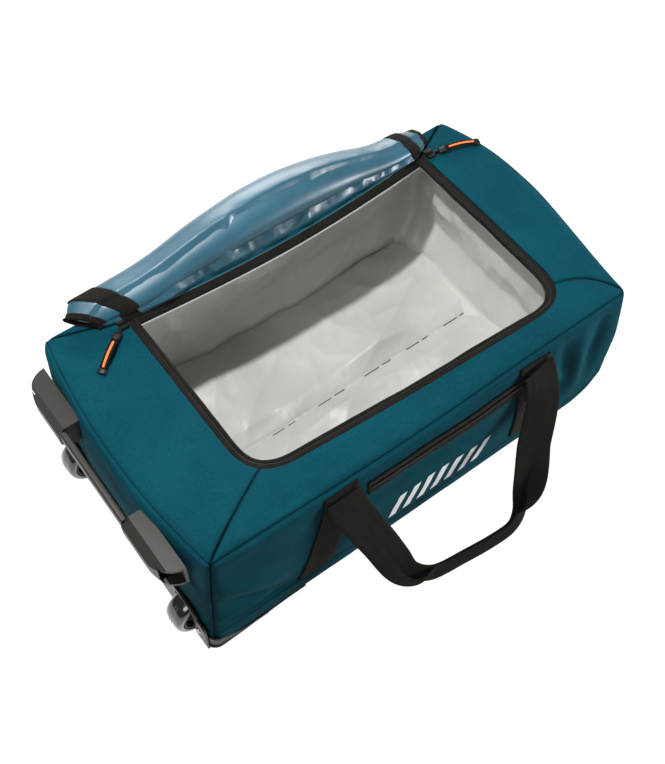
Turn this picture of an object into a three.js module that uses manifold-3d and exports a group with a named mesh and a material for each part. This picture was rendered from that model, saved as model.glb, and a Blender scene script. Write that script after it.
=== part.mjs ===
// A rolling duffel bag with an open, rolled-back lid, a telescopic handle under its floor and two wheels.
// Millimetres, +Z up. The origin is the centre of the footprint on the ground.
// X runs along the bag: the wheels are at -X, the telescopic handle comes out at +X.
// Y runs across it: the pocket side faces -Y and the lid is hinged along the +Y side.

import * as THREE from "three";
import { mergeVertices } from "three/addons/utils/BufferGeometryUtils.js";
import Module from "manifold-3d";

const wasm = await Module();
wasm.setup();

// ---------------------------------------------------------------- driving dimensions
const HALF_LENGTH = 330; // corner to corner along the top
const HALF_WIDTH = 195;
const BOTTOM_Z = 10; // underside of the fabric body above the ground
const TOP_Z = 254;
const FABRIC = 3; // a fabric panel with its foam backing
const GAP = 0.3; // clear space between pieces that touch
const KICK_X = -349.5; // inner face of the kick plate: the wheel end leans out towards the ground
const CORNER_RADIUS = 60; // the bottom corner under the telescopic handle
const HANDLE_END_BULGE = 22;
const WHEEL_END_BULGE = 12;

const OPENING = { left: -228, right: 261, hinge: 148, frontLeft: -140, frontRight: -162, radius: 60 };
const MITRE = {
  frontLeft: [-205, -130],
  frontRight: [247, -125],
  backLeft: [-232, 148],
  backRight: [264, 148],
};
const TAPE = { out: 4, in: 12, thick: 2, pastHinge: 8 };
const HINGE_STRIP = { inner: 136, outer: 153 };
const SLIDERS = [
  { side: "left", x: -236, y: 150, turn: -141 },
  { side: "right", x: 269, y: 148, turn: -17 },
];
const PULL = { length: 66, ring: 4.5, bore: 2.6, half: 5.5, thick: 3.2, reach: 15, lift: 2.5 };
const ROLL = { end: 21, swell: 15.5, middle: 15, spread: 190, leftSwell: 5, leftAt: -230, leftSpread: 90 };
const LID = { left: -266, clothLeft: -202, clothRight: 246, right: 292, front: 154, clear: 1.2 };

const POCKET = { left: -104, right: 178, z0: 185, z1: 208, zip: 196.5, slotLeft: -94, slotRight: 168 };
const POCKET_BAG = { left: -108, right: 164, top: 196, bottom: 60 };
const LINING = { left: -326, right: 324, half: 188, top: 250, step: 98 };
const LINING_FOOT = { left: -283, right: 303, floor: 48.3 };
const FLOOR_BOARD = { left: -280, right: 300, half: 186, z0: 44.5, z1: 48 };

const WEBBING = 50;
const WEBBING_THICK = 2.4;
const STRAP = { left: -143, right: 168, leftFoot: -178, rightFoot: 176, top: 184, bottom: 16 };

const WHEEL = { radius: 38, width: 34, x: -338, y: 140, hub: 27, bearing: 11, axle: 4 };
const HOUSING = { halfWidth: 24, wall: 4.5, clearance: 3.5, back: -290, top: 84 };
const KICK = { top: 72, archTop: 87, archHalf: 29, thick: 3.5, lip: 45, lipZ: 6 };
const GUARD = { thick: 3, tail: -262, tailTop: 12.5, knee: -322, kneeTop: 18, top: 44 };
const FOOT = { inner: 75, outer: 170, back: -346, front: -379, bottom: 190, top: 232 };
const SKID = { x0: 150, x1: 250, y: 140, half: 17, height: 9.6 };

const TUBE = { y: 65, z: 28, sides: 20, back: -270 };
const OUTER_TUBE = { radius: 9, bore: 8, front: 311 };
const LOWER_TUBE = { radius: 7.6, bore: 6.6, back: -255, front: 318 };
const UPPER_TUBE = { radius: 6.2, bore: 5.2, back: -240, front: 343 };
const ROD = { radius: 2.5, back: -228, front: 350 };
const BEZEL = { back: 308, front: 350, half: 104, z0: 12, z1: 71, wall: 4, flange: 10 };
const GRIP = { back: 340, front: 376, half: 90, z0: 17, z1: 41, slot: 22 };
const BUTTON = { half: 16, z0: 23, z1: 33, front: 379 };

// ---------------------------------------------------------------- materials
const material = (color, roughness, metalness = 0) =>
  new THREE.MeshStandardMaterial({ color, roughness, metalness });
const teal = () => material(0x19596a, 0.85);
const gloss = () => material(0x3a6b86, 0.25);
const silver = () => material(0xcdcdc8, 0.5);
const webbing = () => material(0x28241c, 0.9);
const tape = () => material(0x221e18, 0.8);
const plastic = () => material(0x50493f, 0.6);
const blackPlastic = () => material(0x14120f, 0.35);
const rubber = () => material(0x0e0d0c, 0.35);
const aluminium = () => material(0xb8babc, 0.35, 1);
const steel = () => material(0x8d8d8d, 0.3, 1);
const board = () => material(0x2a2a2a, 0.7);

// ---------------------------------------------------------------- geometry helpers
const X = new THREE.Vector3(1, 0, 0);
const Y = new THREE.Vector3(0, 1, 0);
const Z = new THREE.Vector3(0, 0, 1);

function indexed(geometry) {
  const plain = geometry.clone();
  for (const name of ["normal", "uv"]) plain.deleteAttribute(name);
  return mergeVertices(plain, 1e-4);
}

function toManifold(geometry) {
  const g = indexed(geometry);
  return new wasm.Manifold(
    new wasm.Mesh({
      numProp: 3,
      vertProperties: new Float32Array(g.attributes.position.array),
      triVerts: new Uint32Array(g.index.array),
    }),
  );
}

function fromManifold(solid) {
  const mesh = solid.getMesh();
  const geometry = new THREE.BufferGeometry();
  geometry.setAttribute("position", new THREE.BufferAttribute(new Float32Array(mesh.vertProperties), 3));
  geometry.setIndex(new THREE.BufferAttribute(new Uint32Array(mesh.triVerts), 1));
  geometry.computeVertexNormals();
  return geometry;
}

const cut = (geometry, ...tools) =>
  fromManifold(tools.reduce((solid, tool) => solid.subtract(toManifold(tool)), toManifold(geometry)));
const join = (geometry, ...others) =>
  fromManifold(others.reduce((solid, other) => solid.add(toManifold(other)), toManifold(geometry)));
const common = (a, b) => fromManifold(toManifold(a).intersect(toManifold(b)));

/** A box from its lowest to its highest corner. */
function box(x0, x1, y0, y1, z0, z1) {
  const block = new THREE.BoxGeometry(x1 - x0, y1 - y0, z1 - z0);
  return block.translate((x0 + x1) / 2, (y0 + y1) / 2, (z0 + z1) / 2);
}

/** A shape drawn in (y, z) and extruded along X, in (x, z) along Y, or in (x, y) along Z. */
function prism(shape, axis, from, to, curveSegments = 8) {
  const g = new THREE.ExtrudeGeometry(shape, { depth: to - from, bevelEnabled: false, curveSegments });
  if (axis === "x") return g.applyMatrix4(new THREE.Matrix4().makeBasis(Y, Z, X)).translate(from, 0, 0);
  if (axis === "y") {
    const turn = new THREE.Matrix4().makeBasis(X, Z, Y.clone().negate());
    return g.applyMatrix4(turn).translate(0, to, 0);
  }
  return g.translate(0, 0, from);
}

const polygon = (...points) => new THREE.Shape(points.map(([a, b]) => new THREE.Vector2(a, b)));

function roundedRect(a0, a1, b0, b1, r) {
  const shape = new THREE.Shape();
  shape.moveTo(a0 + r, b0);
  shape.lineTo(a1 - r, b0).absarc(a1 - r, b0 + r, r, -Math.PI / 2, 0);
  shape.lineTo(a1, b1 - r).absarc(a1 - r, b1 - r, r, 0, Math.PI / 2);
  shape.lineTo(a0 + r, b1).absarc(a0 + r, b1 - r, r, Math.PI / 2, Math.PI);
  shape.lineTo(a0, b0 + r).absarc(a0 + r, b0 + r, r, Math.PI, 1.5 * Math.PI);
  return shape;
}

function circle(a, b, radius, hole = 0) {
  const shape = new THREE.Shape().absarc(a, b, radius, 0, 2 * Math.PI);
  if (hole) shape.holes.push(new THREE.Path().absarc(a, b, hole, 0, 2 * Math.PI, true));
  return shape;
}

const roundBar = (axis, a, b, radius, from, to, hole = 0) =>
  prism(circle(a, b, radius, hole), axis, from, to, TUBE.sides);

/** A closed sheet between two faces, each a function of (u, v) from 0 to 1. */
function sheet(face, back, nu, nv) {
  const points = [];
  for (const side of [face, back])
    for (let i = 0; i <= nu; i++) for (let j = 0; j <= nv; j++) points.push(side(i / nu, j / nv));
  const at = (side, i, j) => side * (nu + 1) * (nv + 1) + i * (nv + 1) + j;
  const index = [];
  const quad = (a, b, c, d) => index.push(a, b, c, a, c, d);
  for (let i = 0; i < nu; i++)
    for (let j = 0; j < nv; j++) {
      quad(at(0, i, j), at(0, i + 1, j), at(0, i + 1, j + 1), at(0, i, j + 1));
      quad(at(1, i, j), at(1, i, j + 1), at(1, i + 1, j + 1), at(1, i + 1, j));
    }
  for (let i = 0; i < nu; i++) {
    quad(at(0, i, 0), at(1, i, 0), at(1, i + 1, 0), at(0, i + 1, 0));
    quad(at(0, i, nv), at(0, i + 1, nv), at(1, i + 1, nv), at(1, i, nv));
  }
  for (let j = 0; j < nv; j++) {
    quad(at(0, 0, j), at(0, 0, j + 1), at(1, 0, j + 1), at(1, 0, j));
    quad(at(0, nu, j), at(1, nu, j), at(1, nu, j + 1), at(0, nu, j + 1));
  }
  return facingOut(points, index);
}

/** A closed body through rings of points, with a flat cap at each end. */
function loft(rings) {
  const n = rings[0].length;
  const points = rings.flat();
  const index = [];
  for (let r = 0; r + 1 < rings.length; r++)
    for (let k = 0; k < n; k++) {
      const a = r * n + k;
      const b = r * n + ((k + 1) % n);
      index.push(a, b, b + n, a, b + n, a + n);
    }
  for (const [ring, turn] of [[0, 1], [rings.length - 1, -1]])
    for (let k = 1; k + 1 < n; k++) {
      const [b, c] = turn > 0 ? [k + 1, k] : [k, k + 1];
      index.push(ring * n, ring * n + b, ring * n + c);
    }
  return facingOut(points, index);
}

function facingOut(points, index) {
  let volume = 0;
  for (let i = 0; i < index.length; i += 3) {
    const [a, b, c] = [0, 1, 2].map((k) => points[index[i + k]]);
    volume += a.dot(b.clone().cross(c));
  }
  if (volume < 0) index.reverse();
  return new THREE.BufferGeometry().setFromPoints(points).setIndex(index);
}

const bag = new THREE.Group();

function add(group, name, geometry, surface) {
  const mesh = new THREE.Mesh(geometry, surface);
  mesh.name = name;
  group.add(mesh);
  return mesh;
}

function newGroup(parent = bag) {
  const group = new THREE.Group();
  parent.add(group);
  return group;
}

const SIDES = [["front", -1], ["back", 1]];

// ---------------------------------------------------------------- the opening in the top
/** The edge of the opening, moved outwards by `offset`, from its left end at the hinge to its right one. */
function openingEdge(offset, hinge = OPENING.hinge) {
  const { left, right, frontLeft, frontRight, radius } = OPENING;
  const [l, r, fl, fr] = [left - offset, right + offset, frontLeft - offset, frontRight - offset];
  const path = new THREE.Path();
  path.moveTo(l, hinge);
  path.lineTo(l, fl + radius).quadraticCurveTo(l, fl, l + radius, fl - 3);
  path.lineTo(r - radius, fr + 2).quadraticCurveTo(r, fr, r, fr + radius);
  path.lineTo(r, hinge);
  return path.getPoints(6);
}

// ---------------------------------------------------------------- fabric body
function topOutline() {
  const shape = new THREE.Shape();
  shape.moveTo(-HALF_LENGTH, -HALF_WIDTH);
  shape.lineTo(HALF_LENGTH, -HALF_WIDTH);
  shape.quadraticCurveTo(HALF_LENGTH + 2 * HANDLE_END_BULGE, 0, HALF_LENGTH, HALF_WIDTH);
  shape.lineTo(-HALF_LENGTH, HALF_WIDTH);
  shape.quadraticCurveTo(-HALF_LENGTH - 2 * WHEEL_END_BULGE, 0, -HALF_LENGTH, -HALF_WIDTH);
  shape.holes.push(new THREE.Path(openingEdge(0)));
  return shape;
}

/** The four mitred panels that frame the opening, cut from one plate along the mitre seams. */
function addTopPanels(group) {
  const plate = prism(topOutline(), "z", TOP_Z - FABRIC, TOP_Z, 12);
  const far = (inner, corner) => inner.map((v, k) => v + (corner[k] - v) * 1.6);
  const corners = {
    frontLeft: far(MITRE.frontLeft, [-HALF_LENGTH, -HALF_WIDTH]),
    frontRight: far(MITRE.frontRight, [HALF_LENGTH, -HALF_WIDTH]),
    backLeft: far(MITRE.backLeft, [-HALF_LENGTH, HALF_WIDTH]),
    backRight: far(MITRE.backRight, [HALF_LENGTH, HALF_WIDTH]),
  };
  const panels = {
    top_front_panel: ["frontLeft", "frontRight"],
    top_handle_end_panel: ["frontRight", "backRight"],
    top_back_panel: ["backRight", "backLeft"],
    top_wheel_end_panel: ["backLeft", "frontLeft"],
  };
  const seam = 0.9985; // draws each panel in about 0.3 mm from the mitres
  for (const [name, [from, to]] of Object.entries(panels)) {
    const points = [corners[from], corners[to], MITRE[to], [0, 0], MITRE[from]];
    const middle = [0, 1].map((k) => points.reduce((sum, p) => sum + p[k], 0) / points.length);
    const drawn = points.map((p) => p.map((v, k) => middle[k] + (v - middle[k]) * seam));
    const wedge = prism(polygon(...drawn), "z", TOP_Z - 20, TOP_Z + 20);
    add(group, name, common(plate, wedge), teal());
  }
}

/** The outline of the front and back: a leaning wheel end and one round bottom corner. */
function sideOutline() {
  const shape = new THREE.Shape();
  shape.moveTo(KICK_X + 1, BOTTOM_Z);
  shape.lineTo(HALF_LENGTH - CORNER_RADIUS, BOTTOM_Z);
  shape.absarc(HALF_LENGTH - CORNER_RADIUS, BOTTOM_Z + CORNER_RADIUS, CORNER_RADIUS, -Math.PI / 2, 0);
  shape.lineTo(HALF_LENGTH, TOP_Z - FABRIC - GAP);
  shape.lineTo(-HALF_LENGTH, TOP_Z - FABRIC - GAP);
  return shape;
}

function bottomProfile() {
  const centre = [HALF_LENGTH - CORNER_RADIUS, BOTTOM_Z + CORNER_RADIUS];
  const shape = new THREE.Shape();
  shape.moveTo(KICK_X + 1, BOTTOM_Z);
  shape.lineTo(centre[0], BOTTOM_Z).absarc(centre[0], centre[1], CORNER_RADIUS, -Math.PI / 2, 0);
  shape.lineTo(HALF_LENGTH - FABRIC, centre[1]);
  shape.absarc(centre[0], centre[1], CORNER_RADIUS - FABRIC, 0, -Math.PI / 2, true);
  shape.lineTo(KICK_X + 1, BOTTOM_Z + FABRIC);
  return shape;
}

/** An end panel that bulges outwards: x(y, z) is its outer face. */
function endPanel(x, zLow, zHigh, inwards) {
  const half = HALF_WIDTH - FABRIC - 0.5;
  const point = (u, v, shift) => {
    const [y, z] = [(2 * u - 1) * half, zLow + (zHigh - zLow) * v];
    return new THREE.Vector3(x(y, z) + shift, y, z);
  };
  return sheet((u, v) => point(u, v, 0), (u, v) => point(u, v, inwards * FABRIC), 12, 6);
}

function addBody() {
  const group = newGroup();
  const wheelGaps = SIDES.map(([, side]) => {
    const half = HOUSING.halfWidth + 1;
    return box(-400, HOUSING.back + 2, side * WHEEL.y - half, side * WHEEL.y + half, -5, KICK.archTop + 2);
  });
  const bezelGap = box(BEZEL.back - 3, 400, -BEZEL.half - 11.5, BEZEL.half + 11.5, 0, BEZEL.z1 + 7);
  const inner = HALF_WIDTH - FABRIC - GAP;
  const ways = SIDES.map(([, side]) => box(283, 310, side * TUBE.y - 11, side * TUBE.y + 11, 5, TUBE.z + 20));
  const bottom = prism(bottomProfile(), "y", -inner, inner);
  add(group, "bottom_panel", cut(bottom, ...wheelGaps, ...ways, bezelGap), board());

  const side = sideOutline();
  const zipSlot = box(-95, 169, -200, -190, 194, 199);
  const front = prism(side, "y", -HALF_WIDTH, -HALF_WIDTH + FABRIC);
  add(group, "front_panel", cut(front, zipSlot), teal());
  add(group, "back_panel", prism(side, "y", HALF_WIDTH - FABRIC, HALF_WIDTH), teal());

  const topGap = TOP_Z - FABRIC - GAP;
  const crown = (y) => 1 - (y / HALF_WIDTH) ** 2;
  const wheelEnd = (y, z) => {
    const t = (topGap - z) / (topGap - KICK.top);
    return -HALF_LENGTH + (KICK_X + HALF_LENGTH) * t - crown(y) * WHEEL_END_BULGE * (1 - t * t);
  };
  const handleEnd = (y, z) => {
    const t = (topGap - z) / (topGap - BOTTOM_Z - CORNER_RADIUS);
    return HALF_LENGTH + crown(y) * HANDLE_END_BULGE * (1 - 0.6 * t * t) - 0.5;
  };
  add(group, "wheel_end_panel", cut(endPanel(wheelEnd, KICK.top + 1, topGap, 1), ...wheelGaps), teal());
  const lowest = BOTTOM_Z + CORNER_RADIUS + GAP;
  add(group, "handle_end_panel", cut(endPanel(handleEnd, lowest, topGap, -1), bezelGap), teal());
  addTopPanels(group);

  add(group, "lining", cut(liningBlock(0), liningBlock(1)), silver());
  const { left, right, half, z0, z1 } = FLOOR_BOARD;
  add(group, "floor_board", box(left, right, -half, half, z0, z1), board());
}

/** The room inside the lining, shorter near the floor. Drawn in by `shrink` it is also open on top. */
function liningBlock(shrink) {
  const { left, right, half, top, step } = LINING;
  const { left: footLeft, right: footRight, floor } = LINING_FOOT;
  const [y0, y1] = [-half + shrink, half - shrink];
  const low = box(footLeft + shrink, footRight - shrink, y0, y1, floor + shrink, step + 12);
  const above = shrink > 0 ? top + 20 : top;
  return join(low, box(left + shrink, right - shrink, y0, y1, step + shrink, above));
}

// ---------------------------------------------------------------- zips
function addMainZip() {
  const group = newGroup();
  const end = OPENING.hinge + TAPE.pastHinge;
  const band = [...openingEdge(TAPE.out, end), ...openingEdge(-TAPE.in, end).reverse()];
  const bandTop = TOP_Z + GAP + TAPE.thick;
  add(group, "main_zip_tape", prism(new THREE.Shape(band), "z", TOP_Z + GAP, bandTop), tape());
  const [x0, x1] = [OPENING.left + TAPE.in + 1, OPENING.right - TAPE.in - 1];
  const { inner, outer } = HINGE_STRIP;
  add(group, "hinge_strip", box(x0, x1, inner, outer, TOP_Z + GAP, bandTop), tape());
}

/** A zip slider: a low rounded body with a bridge for its pull on top, built around its own middle. */
function sliderBody() {
  const base = prism(roundedRect(-6, 6, -8, 8, 3), "z", 0, 5, 3);
  const bridge = prism(polygon([-6, 4.9], [6, 4.9], [4, 8.5], [-4, 8.5]), "y", -2, 2);
  return join(base, bridge);
}

/** A folded fabric pull with a stripe and a stiff tip, lying along +X from its ring. */
function pullBody(length) {
  const ring = prism(circle(0, 0, PULL.ring, PULL.bore), "y", -2.6, 4.2, 12);
  const strapPlan = roundedRect(PULL.ring - 0.9, length, -PULL.half, PULL.half, 2);
  const strap = prism(strapPlan, "z", -PULL.thick / 2, PULL.thick / 2, 3);
  return join(ring, strap);
}

function addMainSliders() {
  for (const { side, x, y, turn } of SLIDERS) {
    const group = newGroup();
    group.position.set(x, y, TOP_Z + TAPE.thick + 2 * GAP);
    add(group, "main_slider_" + side, sliderBody(), blackPlastic());
    const body = pullBody(PULL.length).translate(PULL.reach, 0, PULL.lift);
    const pull = add(group, "main_pull_" + side, body, webbing());
    pull.rotation.z = THREE.MathUtils.degToRad(turn);
  }
}

function addPocket() {
  const group = newGroup();
  const face = -HALF_WIDTH - GAP;
  const { left, right, z0, z1, zip, slotLeft, slotRight } = POCKET;
  const band = prism(roundedRect(left, right, z0, z1, 2), "y", face - 1.5, face, 2);
  const slot = box(slotLeft, slotRight, face - 5, face + 5, zip - 1, zip + 1);
  add(group, "pocket_zip_tape", cut(band, slot), tape());
  const inside = -HALF_WIDTH + FABRIC + GAP;
  const bagBox = [POCKET_BAG.left, POCKET_BAG.right, inside, inside + 1, POCKET_BAG.bottom, POCKET_BAG.top];
  add(group, "pocket_lining", box(...bagBox), silver());
  const slider = newGroup();
  slider.position.set(slotRight - 4, face - 1.5 - GAP, zip);
  add(slider, "pocket_slider", sliderBody().rotateZ(Math.PI / 2).rotateX(Math.PI / 2), blackPlastic());
  const hanging = pullBody(44).rotateX(Math.PI / 2).rotateY(Math.PI / 2);
  add(slider, "pocket_pull", hanging.translate(0, -5.5, -11.5), webbing());
}

// ---------------------------------------------------------------- rolled lid
/** One cross-section of the roll: thick and round in its middle, flatter and thinner towards both ends. */
function rollRing(x, swell = 1) {
  const hump = (at, spread) => Math.exp(-(((x - at) / spread) ** 2));
  const half = ROLL.end + ROLL.swell * hump(ROLL.middle, ROLL.spread)
    + ROLL.leftSwell * hump(ROLL.leftAt, ROLL.leftSpread);
  const flatness = 0.45 + 0.29 * Math.exp(-(Math.abs(x / 180) ** 3));
  const centre = [LID.front + half, TOP_Z + LID.clear + half * flatness];
  return Array.from({ length: 18 }, (_, k) => {
    const t = (2 * Math.PI * k) / 18;
    const [y, z] = [half * swell * Math.cos(t), half * flatness * swell * Math.sin(t)];
    return new THREE.Vector3(x, centre[0] + y, centre[1] + z);
  });
}

function addLid() {
  const group = newGroup();
  const stretch = (from, to, steps, swell) =>
    loft(Array.from({ length: steps + 1 }, (_, i) => rollRing(from + ((to - from) * i) / steps, swell)));
  add(group, "lid_roll", stretch(LID.clothLeft, LID.clothRight, 14, 1), gloss());
  add(group, "lid_zip_tape_left", stretch(LID.left, LID.clothLeft - GAP, 3, 0.95), tape());
  add(group, "lid_zip_tape_right", stretch(LID.clothRight + GAP, LID.right, 3, 0.95), tape());
}

// ---------------------------------------------------------------- webbing
/** The webbing sewn down each long side: a slanting band from the handle's root to the bottom seam. */
function addStraps() {
  const group = newGroup();
  const half = WEBBING / 2;
  const ends = [["left", STRAP.left, STRAP.leftFoot], ["right", STRAP.right, STRAP.rightFoot]];
  for (const [name, side] of SIDES)
    for (const [end, top, foot] of ends) {
      const upper = [[foot + half, STRAP.bottom], [top + half, STRAP.top]];
      const outline = polygon([top - half, STRAP.top], [foot - half, STRAP.bottom], ...upper);
      const face = side * (HALF_WIDTH + GAP);
      const [y0, y1] = side < 0 ? [face - 2, face] : [face, face + 2];
      add(group, `${name}_strap_${end}`, prism(outline, "y", y0, y1), webbing());
    }
}

// Centre line of the front carry loop, from its left root round to its right one. Each row is x, y, z, the
// yaw of the band in degrees, and its width: the webbing is folded in half along the grip.
const LOOP = [
  [-143, -200, 226, 0, 50],
  [-141, -211, 205, 0, 50],
  [-128, -225, 160, 0, 50],
  [-112, -238, 112, 0, 50],
  [-98, -256, 66, 0, 46],
  [-80, -274, 34, 0, 34],
  [-48, -284, 17, 0, 26],
  [0, -290, 13.5, 0, 25],
  [45, -295, 14, 0, 25],
  [85, -297, 19, 0, 27],
  [118, -288, 39, -8, 36],
  [150, -266, 74, -20, 46],
  [172, -243, 112, -24, 50],
  [177, -224, 160, -14, 50],
  [171, -210, 205, -4, 50],
  [168, -200, 226, 0, 50],
];

function addCarryHandles() {
  const line = new THREE.CatmullRomCurve3(LOOP.map(([x, y, z]) => new THREE.Vector3(x, y, z)));
  const steps = 30;
  const lean = Math.atan2(95, 213); // how far the plane of the loop leans out from the side
  const frames = Array.from({ length: steps + 1 }, (_, i) => {
    const t = i / steps;
    const place = t * (LOOP.length - 1);
    const low = Math.min(Math.floor(place), LOOP.length - 2);
    const mix = (k) => THREE.MathUtils.lerp(LOOP[low][k], LOOP[low + 1][k], place - low);
    const normal = new THREE.Vector3(0, -Math.cos(lean), Math.sin(lean));
    normal.applyAxisAngle(Z, THREE.MathUtils.degToRad(mix(3)));
    const along = line.getTangent(t);
    const across = new THREE.Vector3().crossVectors(normal, along).normalize();
    normal.crossVectors(along, across).normalize();
    return { centre: line.getPoint(t), across, normal, width: mix(4) };
  });
  for (const [name, side] of SIDES) {
    const face = (lift) => (u, v) => {
      const f = frames[Math.round(u * steps)];
      const p = f.centre.clone().addScaledVector(f.across, (v - 0.5) * f.width);
      p.addScaledVector(f.normal, lift);
      p.z = Math.max(p.z, 0.6);
      return new THREE.Vector3(p.x, side < 0 ? p.y : -p.y, p.z);
    };
    const lift = WEBBING_THICK / 2;
    add(newGroup(), name + "_handle", sheet(face(lift), face(-lift), steps, 1), webbing());
  }
}

// ---------------------------------------------------------------- wheel end
function addWheels() {
  const { radius, width, hub, bearing, axle } = WHEEL;
  const half = width / 2;
  const ring = (points) => new THREE.LatheGeometry(points.map(([r, y]) => new THREE.Vector2(r, y)), 36);
  const shoulder = [[radius - 7, -half], [radius - 3, -half + 2], [radius - 0.8, -half + 7]];
  const tread = [[hub + GAP, -half + 2], ...shoulder];
  const tyre = [...tread, [radius, 0], ...tread.map(([r, y]) => [r, -y]).reverse(), tread[0]];
  const rim = [[bearing + GAP, -half + 4], [hub - 5, -half + 4], [hub - 3, -half + 1], [hub, -half + 1]];
  const disc = [...rim, ...rim.map(([r, y]) => [r, -y]).reverse(), rim[0]];
  const race = [[axle + GAP, -half + 3], [bearing, -half + 3], [bearing, half - 3], [axle + GAP, half - 3]];
  for (const [name, side] of SIDES) {
    const group = newGroup();
    group.position.set(WHEEL.x, side * WHEEL.y, radius);
    add(group, `wheel_${name}_tyre`, ring(tyre), rubber());
    add(group, `wheel_${name}_hub`, ring(disc), plastic());
    add(group, `wheel_${name}_bearing`, ring([...race, race[0]]), steel());
    const reach = HOUSING.halfWidth;
    add(group, `wheel_${name}_axle`, roundBar("y", 0, 0, axle, -reach, reach), steel());
    addHousing(group, name);
  }
}

/** The wheel housing: a cup round the top and back of the wheel, open to the ground and to the end. */
function addHousing(group, name) {
  const { halfWidth, wall, clearance, back, top } = HOUSING;
  const [x0, x1] = [KICK_X + GAP - WHEEL.x, back - WHEEL.x];
  const [z0, z1] = [BOTTOM_Z + 1 - WHEEL.radius, top - WHEEL.radius];
  const outline = new THREE.Shape();
  outline.moveTo(x0, z0);
  outline.lineTo(x1, z0).lineTo(x1, z1 - 22).quadraticCurveTo(x1, z1, x1 - 22, z1).lineTo(x0, z1);
  const inside = halfWidth - wall;
  const room = WHEEL.radius + clearance;
  const well = join(
    roundBar("y", 0, 0, room, -inside, inside),
    box(-60, room - 3, -inside, inside, -60, 0),
    box(-60, 0, -inside, inside, -60, room - 6),
  );
  const axleHole = roundBar("y", 0, 0, WHEEL.axle + GAP, -halfWidth - 2, halfWidth + 2);
  const cup = prism(outline, "y", -halfWidth, halfWidth, 6);
  add(group, "wheel_housing_" + name, cut(cup, well, axleHole), blackPlastic());
}

function addKickPlate() {
  const group = newGroup();
  const { top, archTop, archHalf, thick, lip, lipZ } = KICK;
  const half = HALF_WIDTH - 6;
  const outline = new THREE.Shape();
  outline.moveTo(-half, lipZ).lineTo(half, lipZ);
  outline.lineTo(half, top - 14).quadraticCurveTo(half, top, half - 14, top);
  for (const centre of [WHEEL.y, -WHEEL.y]) {
    outline.lineTo(centre + archHalf + 3, top);
    outline.quadraticCurveTo(centre + archHalf, archTop, centre + 14, archTop);
    outline.lineTo(centre - 14, archTop);
    outline.quadraticCurveTo(centre - archHalf, archTop, centre - archHalf - 3, top);
  }
  outline.lineTo(-half + 14, top).quadraticCurveTo(-half, top, -half, top - 14);
  const plate = prism(outline, "x", KICK_X - thick, KICK_X, 5);
  const sole = box(KICK_X - thick, KICK_X + lip, -half, half, lipZ, BOTTOM_Z - GAP);
  const ways = SIDES.map(([, side]) => {
    const room = WHEEL.width / 2 + 2.5;
    const y = side * WHEEL.y;
    const slot = box(-60, 70, -room, room, -60, WHEEL.radius - 6).translate(WHEEL.x, y, WHEEL.radius);
    return join(slot, roundBar("y", WHEEL.x, WHEEL.radius, WHEEL.radius + 3, y - room, y + room));
  });
  const ribs = [52, 60].map((z) => box(KICK_X - thick - 1.5, KICK_X - thick + 1, -100, 100, z, z + 3));
  add(group, "kick_plate", cut(join(plate, sole, ...ribs), ...ways), plastic());

  for (const [name, side] of SIDES) {
    const guard = new THREE.Shape();
    guard.moveTo(KICK_X - 3, lipZ + 2).lineTo(GUARD.tail, lipZ + 2).lineTo(GUARD.tail, GUARD.tailTop);
    guard.lineTo(GUARD.knee, GUARD.kneeTop);
    guard.quadraticCurveTo(KICK_X + 4, GUARD.kneeTop + 2, KICK_X - 2, GUARD.top);
    guard.lineTo(KICK_X - 3, GUARD.top);
    const face = side * (HALF_WIDTH + GAP);
    const [y0, y1] = side < 0 ? [face - GUARD.thick, face] : [face, face + GUARD.thick];
    add(group, "corner_guard_" + name, prism(guard, "y", y0, y1, 6), blackPlastic());
  }
}

/** Two moulded stand feet high on the wheel end, and the bar between them to lift the bag by. */
function addStandFeet() {
  const group = newGroup();
  const { inner, outer, back, front, bottom, top } = FOOT;
  const face = [[front + 9, top], [front, top - 11], [front, bottom + 12], [front + 12, bottom]];
  const profile = polygon([back, bottom], [back, top], ...face);
  for (const [name, side] of SIDES) {
    const plan = new THREE.Shape();
    plan.moveTo(back, inner).lineTo(back, outer);
    plan.quadraticCurveTo(front + 6, outer - 2, front, outer - 34).lineTo(front, inner);
    const solid = common(prism(profile, "y", inner, outer), prism(plan, "z", bottom - 5, top + 5, 8));
    const hollow = box(front + 5, back - 4, outer - 26, outer + 5, bottom + 5, top - 4);
    const foot = cut(solid, hollow);
    if (side < 0) foot.applyMatrix4(new THREE.Matrix4().makeRotationX(Math.PI)).translate(0, 0, bottom + top);
    add(group, "stand_foot_" + name, foot, plastic());
  }
  const bar = prism(roundedRect(front + 1.5, front + 11.5, 208, 229, 3.5), "y", -inner + GAP, inner - GAP, 3);
  add(group, "grab_bar", bar, plastic());
}

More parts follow.
